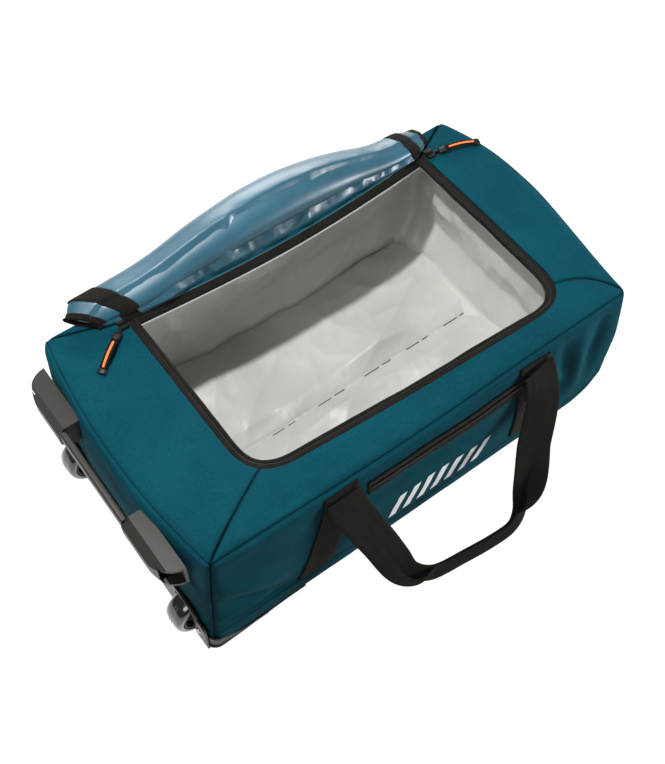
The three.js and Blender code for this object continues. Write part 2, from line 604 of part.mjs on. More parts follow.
// ---------------------------------------------------------------- telescopic handle
function addTelescopicHandle() {
  const group = newGroup();
  const { y, z, back } = TUBE;
  const rods = [];
  for (const [name, side] of SIDES) {
    const place = side * y;
    const tube = ({ radius, bore = 0, back: from = back, front }) =>
      roundBar("x", place, z, radius, from, front, bore);
    add(group, "outer_tube_" + name, tube(OUTER_TUBE), aluminium());
    add(group, "lower_tube_" + name, tube(LOWER_TUBE), aluminium());
    add(group, "upper_tube_" + name, tube(UPPER_TUBE), aluminium());
    rods.push(tube(ROD));
  }
  const brace = roundedRect(-y - 18, y + 18, BOTTOM_Z + FABRIC + 1, 43, 5);
  add(group, "tube_brace", prism(brace, "x", back - 14, back - GAP, 3), blackPlastic());

  const { half, z0, z1, wall, flange } = BEZEL;
  const cup = prism(roundedRect(-half, half, z0, z1, 10), "x", BEZEL.back, BEZEL.front, 5);
  const rimOutline = roundedRect(-half - flange, half + flange, z0 - 5, z1 + 6, 14);
  const rim = prism(rimOutline, "x", BEZEL.front - 5, BEZEL.front, 5);
  const recess = roundedRect(-half + wall, half - wall, z0 + wall, z1 - wall, 8);
  const cavity = prism(recess, "x", BEZEL.back + wall, BEZEL.front + 5, 5);
  const holes = SIDES.map(([, side]) => roundBar("x", side * y, z, OUTER_TUBE.radius + GAP, 300, 320));
  add(group, "handle_bezel", cut(join(cup, rim), cavity, ...holes), blackPlastic());

  const bar = prism(roundedRect(GRIP.back, GRIP.front, GRIP.z0, GRIP.z1, 9), "y", -GRIP.half, GRIP.half, 5);
  const slot = box(GRIP.back - 1, GRIP.back + GRIP.slot, -y - 9, y + 9, z - 7, z + 7);
  const { half: wide, z0: low, z1: high } = BUTTON;
  const window = box(GRIP.back, GRIP.front + 5, -wide - 0.5, wide + 0.5, low - 0.5, high + 0.5);
  add(group, "grip", cut(bar, slot, window), blackPlastic());
  const yoke = prism(roundedRect(-y - 6, y + 6, z - 5, z + 5, 2), "x", 349, 355, 2);
  add(group, "release_linkage", join(yoke, ...rods), steel());
  const button = roundedRect(-wide, wide, low, high, 4);
  add(group, "release_button", prism(button, "x", 355 + GAP, BUTTON.front, 4), blackPlastic());
}

function addSkids() {
  const group = newGroup();
  const { x0, x1, y, half, height } = SKID;
  const profile = polygon([x0 + 12, 0], [x1 - 12, 0], [x1, height], [x0, height]);
  for (const [name, side] of SIDES)
    add(group, "skid_" + name, prism(profile, "y", side * y - half, side * y + half), rubber());
}

addBody();
addMainZip();
addMainSliders();
addPocket();
addLid();
addStraps();
addCarryHandles();
addWheels();
addKickPlate();
addStandFeet();
addTelescopicHandle();
addSkids();

export default bag;
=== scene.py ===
import math

import bmesh
import bpy
import numpy as np
from mathutils import Matrix, Vector
from mathutils.bvhtree import BVHTree


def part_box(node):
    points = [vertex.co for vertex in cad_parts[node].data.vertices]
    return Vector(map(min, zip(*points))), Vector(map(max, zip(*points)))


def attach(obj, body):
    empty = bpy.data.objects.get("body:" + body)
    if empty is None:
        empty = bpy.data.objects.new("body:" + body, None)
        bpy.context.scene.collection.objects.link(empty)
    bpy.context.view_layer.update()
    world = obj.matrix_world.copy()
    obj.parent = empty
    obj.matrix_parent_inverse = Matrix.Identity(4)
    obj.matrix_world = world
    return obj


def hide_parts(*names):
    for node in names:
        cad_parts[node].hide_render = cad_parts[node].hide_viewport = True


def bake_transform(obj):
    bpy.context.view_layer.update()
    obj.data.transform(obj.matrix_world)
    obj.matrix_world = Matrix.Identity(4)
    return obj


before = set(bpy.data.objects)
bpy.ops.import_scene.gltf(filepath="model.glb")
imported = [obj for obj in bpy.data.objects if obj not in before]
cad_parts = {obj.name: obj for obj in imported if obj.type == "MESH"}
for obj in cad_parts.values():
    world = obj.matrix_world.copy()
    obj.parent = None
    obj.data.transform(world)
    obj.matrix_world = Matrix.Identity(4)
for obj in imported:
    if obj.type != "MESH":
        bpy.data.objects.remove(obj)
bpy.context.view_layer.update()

# ---------------------------------------------------------------- sizes, from the frame
MM = 0.001


def low(node):
    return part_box(node)[0]


def high(node):
    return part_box(node)[1]


HALF_LENGTH = high("front_panel").x
HALF_WIDTH = high("back_panel").y
KICK_X = low("front_panel").x
BOTTOM = low("front_panel").z
TOP = high("top_front_panel").z
CORNER = high("bottom_panel").z - BOTTOM
HANDLE_BULGE = high("top_handle_end_panel").x - HALF_LENGTH
WHEEL_BULGE = -low("top_wheel_end_panel").x - HALF_LENGTH
TAPE_OUT = 4 * MM
OPEN_LEFT = low("main_zip_tape").x + TAPE_OUT
OPEN_RIGHT = high("main_zip_tape").x - TAPE_OUT
OPEN_FRONT = low("main_zip_tape").y + TAPE_OUT
TAPE_PAST = 8 * MM  # the zip's tape runs on past the hinge
HINGE_Y = high("main_zip_tape").y - TAPE_PAST
ROUND = 13 * MM  # radius of the soft edges of the body
INSET = (1 - math.sqrt(0.5)) * ROUND


# ---------------------------------------------------------------- camera, floor and light
def make_camera():
    """The photograph's view: from above the front of the wheel end."""
    turn, tilt = math.radians(-36.42), math.radians(57.62)
    back = Vector((math.sin(turn) * math.cos(tilt), -math.cos(turn) * math.cos(tilt), math.sin(tilt)))
    right = Vector((math.cos(turn), math.sin(turn), 0))
    up = back.cross(right)
    camera = bpy.data.objects.new("camera", bpy.data.cameras.new("camera"))
    camera.data.lens = 52.36
    camera.data.clip_end = 50
    place = back * 1.648 + right * -0.0092 + up * 0.0429 + Vector((0, 0, BOTTOM))
    camera.matrix_world = Matrix.Translation(place) @ Matrix((right, up, back)).transposed().to_4x4()
    bpy.context.scene.collection.objects.link(camera)
    bpy.context.scene.camera = camera


def make_floor():
    bpy.ops.mesh.primitive_plane_add(size=40)
    floor = bpy.context.object
    floor.name = "floor"
    paint = Look("floor_paint", (0.18, 0.18, 0.18), 0.9, Emission_Strength=0.95)
    paint.shader.inputs["Emission Color"].default_value = (1, 1, 1, 1)
    paint.shader.inputs["Specular IOR Level"].default_value = 0
    floor.data.materials.append(paint.material)
    floor.visible_diffuse = False


def area_light(name, place, target, size, power):
    light = bpy.data.lights.new(name, "AREA")
    light.shape, light.size, light.energy = "SQUARE", size, power
    lamp = bpy.data.objects.new(name, light)
    lamp.location = place
    lamp.rotation_euler = (Vector(target) - Vector(place)).to_track_quat("-Z", "Y").to_euler()
    bpy.context.scene.collection.objects.link(lamp)


def make_lights():
    """A key light high behind the bag, three soft cards and a dim dome that is darker near the ground."""
    area_light("key", (-0.66, 0.38, 2.55), (0, 0, 0.1), 0.14, 72)
    area_light("back_card", (0.95, 2.0, 1.35), (0, 0, 0.2), 1.5, 46)
    area_light("front_card", (2.2, -1.7, 0.62), (0, 0, 0.15), 1.0, 84)
    area_light("left_card", (-1.9, -0.25, 1.7), (0, 0, 0.2), 0.9, 15)
    world = bpy.data.worlds.new("studio")
    world.use_nodes = True
    nodes, links = world.node_tree.nodes, world.node_tree.links
    split = nodes.new("ShaderNodeSeparateXYZ")
    links.new(nodes.new("ShaderNodeTexCoord").outputs["Generated"], split.inputs[0])
    span = nodes.new("ShaderNodeMapRange")
    for key, value in (("From Min", -0.3), ("From Max", 0.9), ("To Min", 0.08), ("To Max", 0.30)):
        span.inputs[key].default_value = value
    links.new(split.outputs["Z"], span.inputs["Value"])
    background = nodes["Background"]
    background.inputs["Color"].default_value = (1, 1, 1, 1)
    links.new(span.outputs[0], background.inputs["Strength"])
    bpy.context.scene.world = world
    bpy.context.scene.view_settings.view_transform = "Standard"


# ---------------------------------------------------------------- materials
class Look:
    """A Principled material, with short calls that add and join its nodes."""

    def __init__(self, name, colour, roughness, **sockets):
        self.material = bpy.data.materials.new(name)
        self.material.use_nodes = True
        self.tree = self.material.node_tree
        self.shader = self.tree.nodes["Principled BSDF"]
        self.colour = (*colour, 1)
        self.shader.inputs["Base Color"].default_value = self.colour
        self.shader.inputs["Roughness"].default_value = roughness
        for key, value in sockets.items():
            self.shader.inputs[key.replace("_", " ")].default_value = value

    def add(self, kind, **settings):
        node = self.tree.nodes.new("ShaderNode" + kind)
        for key, value in settings.items():
            if hasattr(node, key):
                setattr(node, key, value)
            else:
                self.plug(value, node.inputs[key.replace("_", " ")])
        return node

    def plug(self, value, socket):
        if isinstance(value, bpy.types.NodeSocket):
            self.tree.links.new(value, socket)
        elif isinstance(value, bpy.types.Node):
            self.tree.links.new(value.outputs[0], socket)
        else:
            socket.default_value = value

    def math(self, operation, *values):
        node = self.add("Math", operation=operation)
        for value, socket in zip(values, node.inputs):
            self.plug(value, socket)
        return node.outputs[0]

    def object_space(self):
        return self.add("TexCoord").outputs["Object"]

    def cloth_space(self):
        """Along and across the cloth, in metres."""
        return self.add("Attribute", attribute_name="cloth").outputs["Vector"]

    def noise(self, where, scale, detail=3, roughness=0.6, distortion=0.0):
        node = self.add("TexNoise", Scale=scale, Detail=detail, Roughness=roughness, Distortion=distortion)
        self.plug(where, node.inputs["Vector"])
        return node.outputs[0]

    def shade(self, factor, dark, light):
        """The base colour, from dark to light times its own colour, as factor goes from 0.3 to 0.7."""
        span = self.add("MapRange", From_Min=0.3, From_Max=0.7, To_Min=dark, To_Max=light)
        self.plug(factor, span.inputs["Value"])
        return span.outputs[0]

    def paint(self, *factors):
        """Multiplies the base colour by each factor."""
        total = factors[0]
        for factor in factors[1:]:
            total = self.math("MULTIPLY", total, factor)
        node = self.add("VectorMath", operation="SCALE")
        node.inputs[0].default_value = self.colour[:3]
        self.plug(total, node.inputs["Scale"])
        self.plug(node.outputs[0], self.shader.inputs["Base Color"])

    def bump(self, height, distance, strength=1.0):
        before = self.shader.inputs["Normal"].links
        node = self.add("Bump", Strength=strength, Distance=distance)
        self.plug(height, node.inputs["Height"])
        if before:
            self.plug(before[0].from_socket, node.inputs["Normal"])
        self.plug(node.outputs[0], self.shader.inputs["Normal"])

    def threads(self, where, pitch_along, pitch_across):
        """The height of a plain weave."""
        split = self.add("SeparateXYZ", Vector=where)
        along = self.math("SINE", self.math("MULTIPLY", split.outputs[0], 2 * math.pi / pitch_along))
        across = self.math("SINE", self.math("MULTIPLY", split.outputs[1], 2 * math.pi / pitch_across))
        return self.math("MULTIPLY", along, across)


def attribute_shade(look, name, amount):
    """A painted shade factor for the base colour: 1 where the attribute is 0, and 1 - amount where it is 1."""
    value = look.add("Attribute", attribute_name=name).outputs["Fac"]
    return look.math("SUBTRACT", 1.0, look.math("MULTIPLY", value, amount))


def body_fabric():
    look = Look("body_fabric", (0.0019, 0.047, 0.067), 0.8, Sheen_Weight=0.015, Sheen_Roughness=0.4)
    look.shader.inputs["Sheen Tint"].default_value = (0.3, 0.75, 0.85, 1)
    look.shader.inputs["Specular IOR Level"].default_value = 0.04
    where = look.object_space()
    cloudy = look.shade(look.noise(where, 7, 4), 0.84, 1.14)
    flecks = look.shade(look.noise(where, 420, 2), 0.84, 1.16)
    # darker along the seams (the seam attribute): painted shade of the seam grooves, and partly their darker stitching
    look.paint(cloudy, flecks, attribute_shade(look, "seam", 0.6))
    look.bump(look.noise(where, 55, 4, 0.65), 0.8 * MM, 0.5)
    look.bump(look.threads(look.cloth_space(), 1.1 * MM, 1.1 * MM), 0.12 * MM, 0.5)
    return look.material


def lid_fabric():
    look = Look("lid_fabric", (0.013, 0.078, 0.120), 0.4, Coat_Weight=0.75, Coat_Roughness=0.3)
    where = look.object_space()
    # painted seam shade from the seam attribute, which the lid pieces set to zero
    look.paint(look.shade(look.noise(where, 9, 3), 0.8, 1.2), attribute_shade(look, "seam", 0.5))
    look.bump(look.noise(where, 26, 3, 0.5), 1.6 * MM, 0.4)
    look.bump(look.threads(look.cloth_space(), 0.9 * MM, 0.9 * MM), 0.05 * MM, 0.5)
    return look.material


def lining_fabric():
    look = Look("lining_fabric", (0.45, 0.445, 0.42), 0.34, Coat_Weight=0.25, Coat_Roughness=0.3)
    where = look.object_space()
    # darker along the seam attribute: painted shade where the back wall of the lining meets the floor
    look.paint(look.shade(look.noise(where, 10, 3), 0.93, 1.05), attribute_shade(look, "seam", 0.5))
    look.bump(look.noise(where, 15, 4, 0.55, 1.2), 2.4 * MM, 0.5)
    look.bump(look.threads(look.cloth_space(), 0.7 * MM, 0.7 * MM), 0.05 * MM, 0.4)
    return look.material


def webbing_fabric():
    look = Look("webbing", (0.0052, 0.0050, 0.0036), 0.85, Sheen_Weight=0.015, Sheen_Roughness=0.5)
    look.shader.inputs["Sheen Tint"].default_value = (0.8, 0.7, 0.5, 1)
    look.shader.inputs["Specular IOR Level"].default_value = 0.1
    split = look.add("SeparateXYZ", Vector=look.cloth_space())
    zigzag = look.math("PINGPONG", split.outputs[1], 6.25 * MM)
    slant = look.math("ADD", split.outputs[0], look.math("MULTIPLY", zigzag, 0.5))
    rib = look.math("SINE", look.math("MULTIPLY", slant, 2 * math.pi / (2.1 * MM)))
    look.bump(rib, 0.35 * MM, 0.8)
    look.paint(
        look.shade(look.math("MULTIPLY_ADD", rib, 0.2, 0.5), 0.72, 1.35),
        look.shade(look.noise(look.object_space(), 30, 3), 0.8, 1.3),
    )
    return look.material


def tape_fabric():
    look = Look("zip_tape", (0.0075, 0.0066, 0.0048), 0.8, Sheen_Weight=0.03)
    look.shader.inputs["Specular IOR Level"].default_value = 0.1
    # darker along the sewn edges (the seam attribute): painted shade of the seam grooves
    look.paint(look.shade(look.noise(look.object_space(), 60, 3), 0.7, 1.5), attribute_shade(look, "seam", 0.6))
    look.bump(look.threads(look.cloth_space(), 1.2 * MM, 0.8 * MM), 0.2 * MM, 0.8)
    return look.material


def accent_fabric():
    look = Look("accent", (0.86, 0.17, 0.035), 0.7)
    look.paint(look.shade(look.noise(look.object_space(), 200, 3), 0.85, 1.15))
    look.bump(look.threads(look.cloth_space(), 0.8 * MM, 0.8 * MM), 0.1 * MM, 0.6)
    return look.material


def print_ink():
    look = Look("print", (0.78, 0.8, 0.82), 0.5)
    look.paint(look.shade(look.noise(look.object_space(), 300, 3), 0.9, 1.04))
    look.bump(look.threads(look.cloth_space(), 1.1 * MM, 1.1 * MM), 0.08 * MM, 0.5)
    return look.material


def thread(name, colour):
    look = Look(name, colour, 0.7)
    look.bump(look.noise(look.object_space(), 1500, 2), 0.1 * MM)
    return look.material


def moulded(name, colour, roughness, grain=0.5, gloss=0.5):
    look = Look(name, colour, roughness)
    look.shader.inputs["Specular IOR Level"].default_value = gloss
    where = look.object_space()
    look.paint(look.shade(look.noise(where, 14, 3), 0.9, 1.1), look.shade(look.noise(where, 600, 2), 0.93, 1.07))
    look.bump(look.noise(where, 900, 3, 0.6), 0.15 * MM, grain)
    return look.material


def rubber(name, colour, roughness):
    look = Look(name, colour, roughness, Coat_Weight=1.0, Coat_Roughness=0.08)
    where = look.object_space()
    look.paint(look.shade(look.noise(where, 40, 3), 0.8, 1.3))
    look.bump(look.noise(where, 500, 3, 0.6), 0.06 * MM, 0.4)
    return look.material


def metal(name, colour, roughness):
    look = Look(name, colour, roughness, Metallic=1.0)
    stretched = look.add("Mapping", Vector=look.object_space())
    stretched.inputs["Scale"].default_value = (4, 900, 900)
    brushed = look.noise(stretched.outputs[0], 1, 4)
    look.paint(look.shade(brushed, 0.92, 1.06))
    look.bump(brushed, 0.02 * MM, 0.5)
    return look.material


# ---------------------------------------------------------------- noise and creases
def hashed(cell, seed):
    value = np.sin(cell @ np.array([127.1, 311.7, 74.7]) + seed * 17.13) * 43758.5453
    return value - np.floor(value)


def smooth_noise(points, seed=0):
    """Value noise from 0 to 1."""
    base = np.floor(points)
    part = points - base
    part = part * part * (3 - 2 * part)
    total = np.zeros(points.shape[:-1])
    for corner in np.ndindex(2, 2, 2):
        step = np.array(corner, float)
        weight = np.prod(np.where(step > 0, part, 1 - part), axis=-1)
        total += weight * hashed(base + step, seed)
    return total


def folds(points, along, size, stretch=3.5, seed=0, octaves=3):
    """Creases from -1 to 1 that run along a direction, about size apart."""
    along = np.array(along, float) / np.linalg.norm(along)
    drift = (smooth_noise(points / (size * 3.0), seed + 5)[..., None] - 0.5) * size * 1.6
    lengthwise = (points @ along)[..., None] * along
    squeezed = (points - lengthwise) + lengthwise / stretch + drift
    total, weight = 0, 0
    for k in range(octaves):
        n = smooth_noise(squeezed * 2**k / size, seed + k)
        total = total + (1 - 2 * np.abs(2 * n - 1)) * 0.5**k
        weight += 0.5**k
    return total / weight


def ridges(points, along, size, stretch=3.5, seed=0):
    """Sharp crests from 0 to 1 with broad flat valleys between them."""
    return ((folds(points, along, size, stretch, seed, 2) + 1) / 2) ** 1.7


def crease(points, start, end, width, depth, fade=True):
    """A soft valley (negative depth) or ridge between two points, which fades out at both ends."""
    start, end = np.array(start, float), np.array(end, float)
    line = end - start
    t = np.clip(((points - start) @ line) / (line @ line), 0, 1)
    away = np.linalg.norm(points - (start + t[..., None] * line), axis=-1)
    shape = depth * np.exp(-((away / width) ** 2))
    return shape * np.sin(np.pi * np.clip(t, 0.02, 0.98)) ** 0.6 if fade else shape


# ---------------------------------------------------------------- meshes
def new_object(name, points, faces, material, **attributes):
    mesh = bpy.data.meshes.new(name)
    mesh.from_pydata([tuple(p) for p in points], [], faces)
    for key, values in attributes.items():
        kind = "FLOAT_VECTOR" if np.ndim(values) == 2 else "FLOAT"
        layer = mesh.attributes.new(key, kind, "POINT")
        layer.data.foreach_set("vector" if kind == "FLOAT_VECTOR" else "value", np.ravel(values).astype(np.float32))
    mesh.materials.append(material)
    mesh.shade_smooth()
    piece = bpy.data.objects.new(name, mesh)
    bpy.context.scene.collection.objects.link(piece)
    return piece


def grid_faces(nu, nv, loop_u=False, loop_v=False, keep=None):
    """The quads of a grid whose points run along v first."""
    rows = nu if loop_u else nu + 1
    columns = nv if loop_v else nv + 1
    faces = []
    for i in range(nu):
        for j in range(nv):
            if keep is None or keep[i, j]:
                i2, j2 = (i + 1) % rows, (j + 1) % columns
                faces.append((i * columns + j, i2 * columns + j, i2 * columns + j2, i * columns + j2))
    return faces


def grid(nu, nv):
    return np.meshgrid(np.linspace(0, 1, nu + 1), np.linspace(0, 1, nv + 1), indexing="ij")


def run(points, axis):
    """Distance along the grid lines from the first row."""
    step = np.linalg.norm(np.diff(points, axis=axis), axis=-1)
    zero = np.zeros_like(np.take(step, [0], axis=axis))
    return np.cumsum(np.concatenate([zero, step], axis=axis), axis=axis)


def surface_tree(piece):
    bpy.context.view_layer.update()
    return BVHTree.FromObject(piece, bpy.context.evaluated_depsgraph_get())


def lay_on(points, tree, way, lift):
    """Moves points along way until they lie on a surface, then a little off it."""
    way = Vector(way)
    laid = np.array(points, float)
    for index in np.ndindex(laid.shape[:-1]):
        start = Vector(laid[index])
        laid[index] = tree.ray_cast(start - way * 0.2, way)[0] or tree.find_nearest(start)[0]
    return laid - np.array(way) * lift


def grid_normals(points, outwards):
    n = np.cross(np.gradient(points, axis=0), np.gradient(points, axis=1))
    n /= np.linalg.norm(n, axis=-1, keepdims=True) + 1e-12
    return n * np.sign(np.sum(n * outwards, axis=-1, keepdims=True).mean())


def rounded_edge(distance, radius):
    """How far a panel stands out, this far from the seam of a rounded edge."""
    sine = np.clip(math.sqrt(0.5) - distance / radius, 0, 1)
    return radius * (np.sqrt(1 - sine**2) - math.sqrt(0.5)) * (distance >= 0)


def set_thickness(piece, thickness, offset=-1):
    solid = piece.modifiers.new("thickness", "SOLIDIFY")
    solid.thickness, solid.offset, solid.use_even_offset = thickness, offset, False


def panel(name, surface, nu, nv, outwards, material, edges, relief=None, keep=None, marks=None, thickness=1.2 * MM):
    """A cloth panel: surface(U, V) gives its seam-to-seam base. edges has a letter for each border, u0, u1, v0 and
    v1: "R" is a rounded edge with a seam that shows, "r" a soft rounded edge, "s" a flat seam, "f" a flat edge and "-" none.
    marks gives, for each point, how close it is to a seam sewn across the panel, from 0 to 1."""
    U, V = grid(nu, nv)
    base = surface(U, V)
    along, across = run(base, 0), run(base, 1)
    to_edge = list(zip(edges, (along, along[-1:] - along, across, across[:, -1:] - across)))
    normals = grid_normals(base, np.array(outwards, float))
    # seam sets the groove along each seam and, through the attribute of that name, the painted seam shade in the base
    # colour
    seam = np.zeros(U.shape)
    for kind, distance in to_edge:
        if kind in "Rs":
            seam = np.maximum(seam, np.exp(-((distance / (2.4 * MM)) ** 2)))
    if marks is not None:
        seam = np.maximum(seam, marks(base))
    lift = -1.4 * MM * seam
    stand = [rounded_edge(distance, ROUND) for kind, distance in to_edge if kind in "Rr"]
    if stand:
        lift += np.minimum.reduce(stand)
    if relief is not None:
        near = np.minimum.reduce([distance for kind, distance in to_edge if kind != "-"])
        lift += relief(base) * np.clip(near / (14 * MM), 0, 1)
    points = base + normals * lift[..., None]
    cloth = np.stack([along, across, np.zeros_like(along)], axis=-1)
    kept = None if keep is None else keep(base)[:-1, :-1]
    piece = new_object(name, points.reshape(-1, 3), grid_faces(nu, nv, keep=kept), material,
                       cloth=cloth.reshape(-1, 3), seam=seam.ravel())
    face_outwards(piece, normals.reshape(-1, 3))
    if kept is not None:
        drop_loose_points(piece)
    set_thickness(piece, thickness)
    return piece


def face_outwards(piece, normals):
    """Turns the faces round if they look against the given normals of the points."""
    mesh = piece.data
    middle = mesh.polygons[len(mesh.polygons) // 2]
    if Vector(normals[middle.vertices[0]]).dot(middle.normal) < 0:
        mesh.flip_normals()


def drop_loose_points(piece):
    work = bmesh.new()
    work.from_mesh(piece.data)
    bmesh.ops.delete(work, geom=[v for v in work.verts if not v.link_faces], context="VERTS")
    work.to_mesh(piece.data)
    work.free()


def sweep(name, points, normals, acrosses, section, material, loop_section=True, cap=True):
    """A section of (across, normal) offsets carried along a line of points. section may be a function of the row."""
    rows = []
    for i, (p, n, a) in enumerate(zip(points, normals, acrosses)):
        outline = section(i) if callable(section) else section
        rows.append([np.array(p) + np.array(a) * s + np.array(n) * t for s, t in outline])
    rows = np.array(rows)
    nu, nv = len(rows) - 1, len(rows[0]) if loop_section else len(rows[0]) - 1
    faces = grid_faces(nu, nv, loop_v=loop_section)
    count = len(rows[0])
    if cap and loop_section:
        faces += [tuple(reversed(range(count))), tuple(nu * count + k for k in range(count))]
    along = run(rows, 0)
    across = run(rows, 1)
    cloth = np.stack([along, across, np.zeros_like(along)], axis=-1).reshape(-1, 3)
    piece = new_object(name, rows.reshape(-1, 3), faces, material, cloth=cloth)
    tidy_normals(piece)
    return piece


def tidy_normals(piece):
    work = bmesh.new()
    work.from_mesh(piece.data)
    bmesh.ops.recalc_face_normals(work, faces=work.faces)
    work.to_mesh(piece.data)
    work.free()


def flat_section(width, thickness):
    w, t = width / 2, thickness / 2
    return [(-w + t, -t), (w - t, -t), (w, -t / 2), (w, t / 2), (w - t, t), (-w + t, t), (-w, t / 2), (-w, -t / 2)]


def round_section(radius, sides=10):
    return [(radius * math.cos(a), radius * math.sin(a)) for a in np.linspace(0, 2 * math.pi, sides, endpoint=False)]


def frames_along(points, up=(0, 0, 1)):
    """For a line of points: the normals nearest to up, and the directions across."""
    points = np.array(points, float)
    tangent = np.gradient(points, axis=0)
    tangent /= np.linalg.norm(tangent, axis=1, keepdims=True)
    up = np.broadcast_to(np.array(up, float), points.shape)
    across = np.cross(up, tangent)
    across /= np.linalg.norm(across, axis=1, keepdims=True) + 1e-12
    return np.cross(tangent, across), across


def cord_line(name, points, radius, material, sides=8):
    normals, across = frames_along(points)
    return sweep(name, points, normals, across, round_section(radius, sides), material)


def resample(points, step):
    """Points at an even step along a line."""
    points = np.array(points, float)
    length = np.concatenate([[0], np.cumsum(np.linalg.norm(np.diff(points, axis=0), axis=1))])
    at = np.linspace(0, length[-1], max(2, int(round(length[-1] / step)) + 1))
    return np.stack([np.interp(at, length, points[:, k]) for k in range(3)], axis=1)


def stitches(name, lines, material, ups, pitch=4.2 * MM, length=2.9 * MM, radius=0.45 * MM):
    """Rows of separate stitches laid on lines of points, a little proud of the cloth along up."""
    points, faces = [], []
    ring = round_section(radius, 5)
    for line, up in zip(lines, ups):
        spots = resample(line, pitch)
        normals, across = frames_along(spots, up)
        for a, b, n, side in zip(spots[:-1], spots[1:], normals, across):
            way = (b - a) / np.linalg.norm(b - a)
            middle = (a + b) / 2 + n * radius * 0.6
            start = len(points)
            for s, swell in ((-0.5, 0.3), (-0.38, 1), (0.38, 1), (0.5, 0.3)):
                points += [middle + way * s * length + side * x * swell + n * y * swell for x, y in ring]
            for r in range(3):
                for k in range(5):
                    i, j = start + r * 5 + k, start + r * 5 + (k + 1) % 5
                    faces.append((i, j, j + 5, i + 5))
            faces += [tuple(start + k for k in reversed(range(5))), tuple(start + 15 + k for k in range(5))]
    piece = new_object(name, points, faces, material)
    tidy_normals(piece)
    return piece


def lathe(name, profile, centre, axis, material, segments=96):
    """Revolves (radius, height) points round an axis through centre. The profile closes on itself."""
    axis = Vector(axis)
    turn = Vector((0, 0, 1)).rotation_difference(axis).to_matrix()
    points = []
    for k in range(segments):
        a = 2 * math.pi * k / segments
        points += [turn @ Vector((r * math.cos(a), r * math.sin(a), h)) + Vector(centre) for r, h in profile]
    piece = new_object(name, points, grid_faces(segments, len(profile), loop_u=True, loop_v=True), material)
    tidy_normals(piece)
    piece.data.set_sharp_from_angle(angle=math.radians(35))
    return piece


def refined(node, material, bevel=1.0 * MM, segments=3, name=None):
    """The CAD node's own shape with softened edges."""
    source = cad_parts[node]
    piece = bpy.data.objects.new(name or node + "_finished", source.data.copy())
    bpy.context.scene.collection.objects.link(piece)
    work = bmesh.new()
    work.from_mesh(piece.data)
    bmesh.ops.remove_doubles(work, verts=work.verts, dist=0.01 * MM)
    bmesh.ops.dissolve_limit(work, angle_limit=math.radians(0.5), verts=work.verts, edges=work.edges)
    bmesh.ops.recalc_face_normals(work, faces=work.faces)
    work.to_mesh(piece.data)
    work.free()
    piece.data.materials.clear()
    piece.data.materials.append(material)
    piece.data.shade_smooth()
    piece.data.set_sharp_from_angle(angle=math.radians(28))
    soften = piece.modifiers.new("bevel", "BEVEL")
    soften.width, soften.segments, soften.limit_method = bevel, segments, "ANGLE"
    soften.angle_limit = math.radians(28)
    soften.harden_normals = True
    return piece


def place(piece, slot, nodes=(), body="bag"):
    """Rides on a body and hides the CAD nodes it stands for. slot is not used."""
    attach(piece, body)
    if nodes:
        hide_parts(*nodes)
    return piece


# ---------------------------------------------------------------- the seams that the panels share
def crown(y):
    return 1 - (y / HALF_WIDTH) ** 2


def front_sag(x):
    return 13 * MM * np.exp(-(((x + 0.05) / 0.19) ** 2))


def back_sag(x):
    return 6 * MM * np.exp(-(((x - 0.02) / 0.2) ** 2))


def line3(x, y, z):
    return np.stack(np.broadcast_arrays(np.asarray(x, float), y, z), axis=-1)


def top_seam(side, x):
    """The seam between the top and a long side: side is -1 at the front and 1 at the back."""
    sag = front_sag(x) if side < 0 else back_sag(x)
    return line3(x, side * (HALF_WIDTH - INSET), TOP - INSET - sag)


def wheel_end_seam(y):
    x = -HALF_LENGTH + INSET - WHEEL_BULGE * 1.5 * crown(y)
    return line3(x, y, TOP - INSET - 2 * MM * crown(y))


def handle_end_seam(y):
    bulge = HANDLE_BULGE * 1.1 * crown(y) * (1 + 0.7 * y / HALF_WIDTH)
    return line3(HALF_LENGTH - INSET + bulge, y, TOP - INSET - 1 * MM * crown(y))


def side_bottom(x):
    """Height of the bottom edge of a long side: flat, then rising round the corner of the handle end."""
    start = HALF_LENGTH - CORNER
    past = np.clip(x - start, 0, CORNER - INSET)
    radius = CORNER - INSET
    return BOTTOM + INSET + radius - np.sqrt(np.maximum(radius**2 - past**2, 0))


def corners_along(u):
    """Top and bottom places along a long side, closer together near the round corner."""
    u = 1 - (1 - u) ** 1.5
    limit = HALF_LENGTH - INSET
    return -limit + 2 * limit * u, (KICK_X + INSET) + (limit - KICK_X - INSET) * u


def corner_bow(rise):
    """The upright edges of the handle end bow outwards."""
    return 9 * MM * np.sin(np.pi * np.clip(rise, 0, 1))


def long_side(side):
    def surface(U, V):
        x_top, x_bottom = corners_along(U)
        top = top_seam(side, x_top)
        bottom = line3(x_bottom, side * (HALF_WIDTH - INSET), side_bottom(x_bottom))
        out = bottom + (top - bottom) * V[..., None]
        out[..., 0] += corner_bow(V) * U**8
        out[..., 1] += side * 6 * MM * np.sin(np.pi * V) * np.sin(np.pi * U)
        return out

    return surface


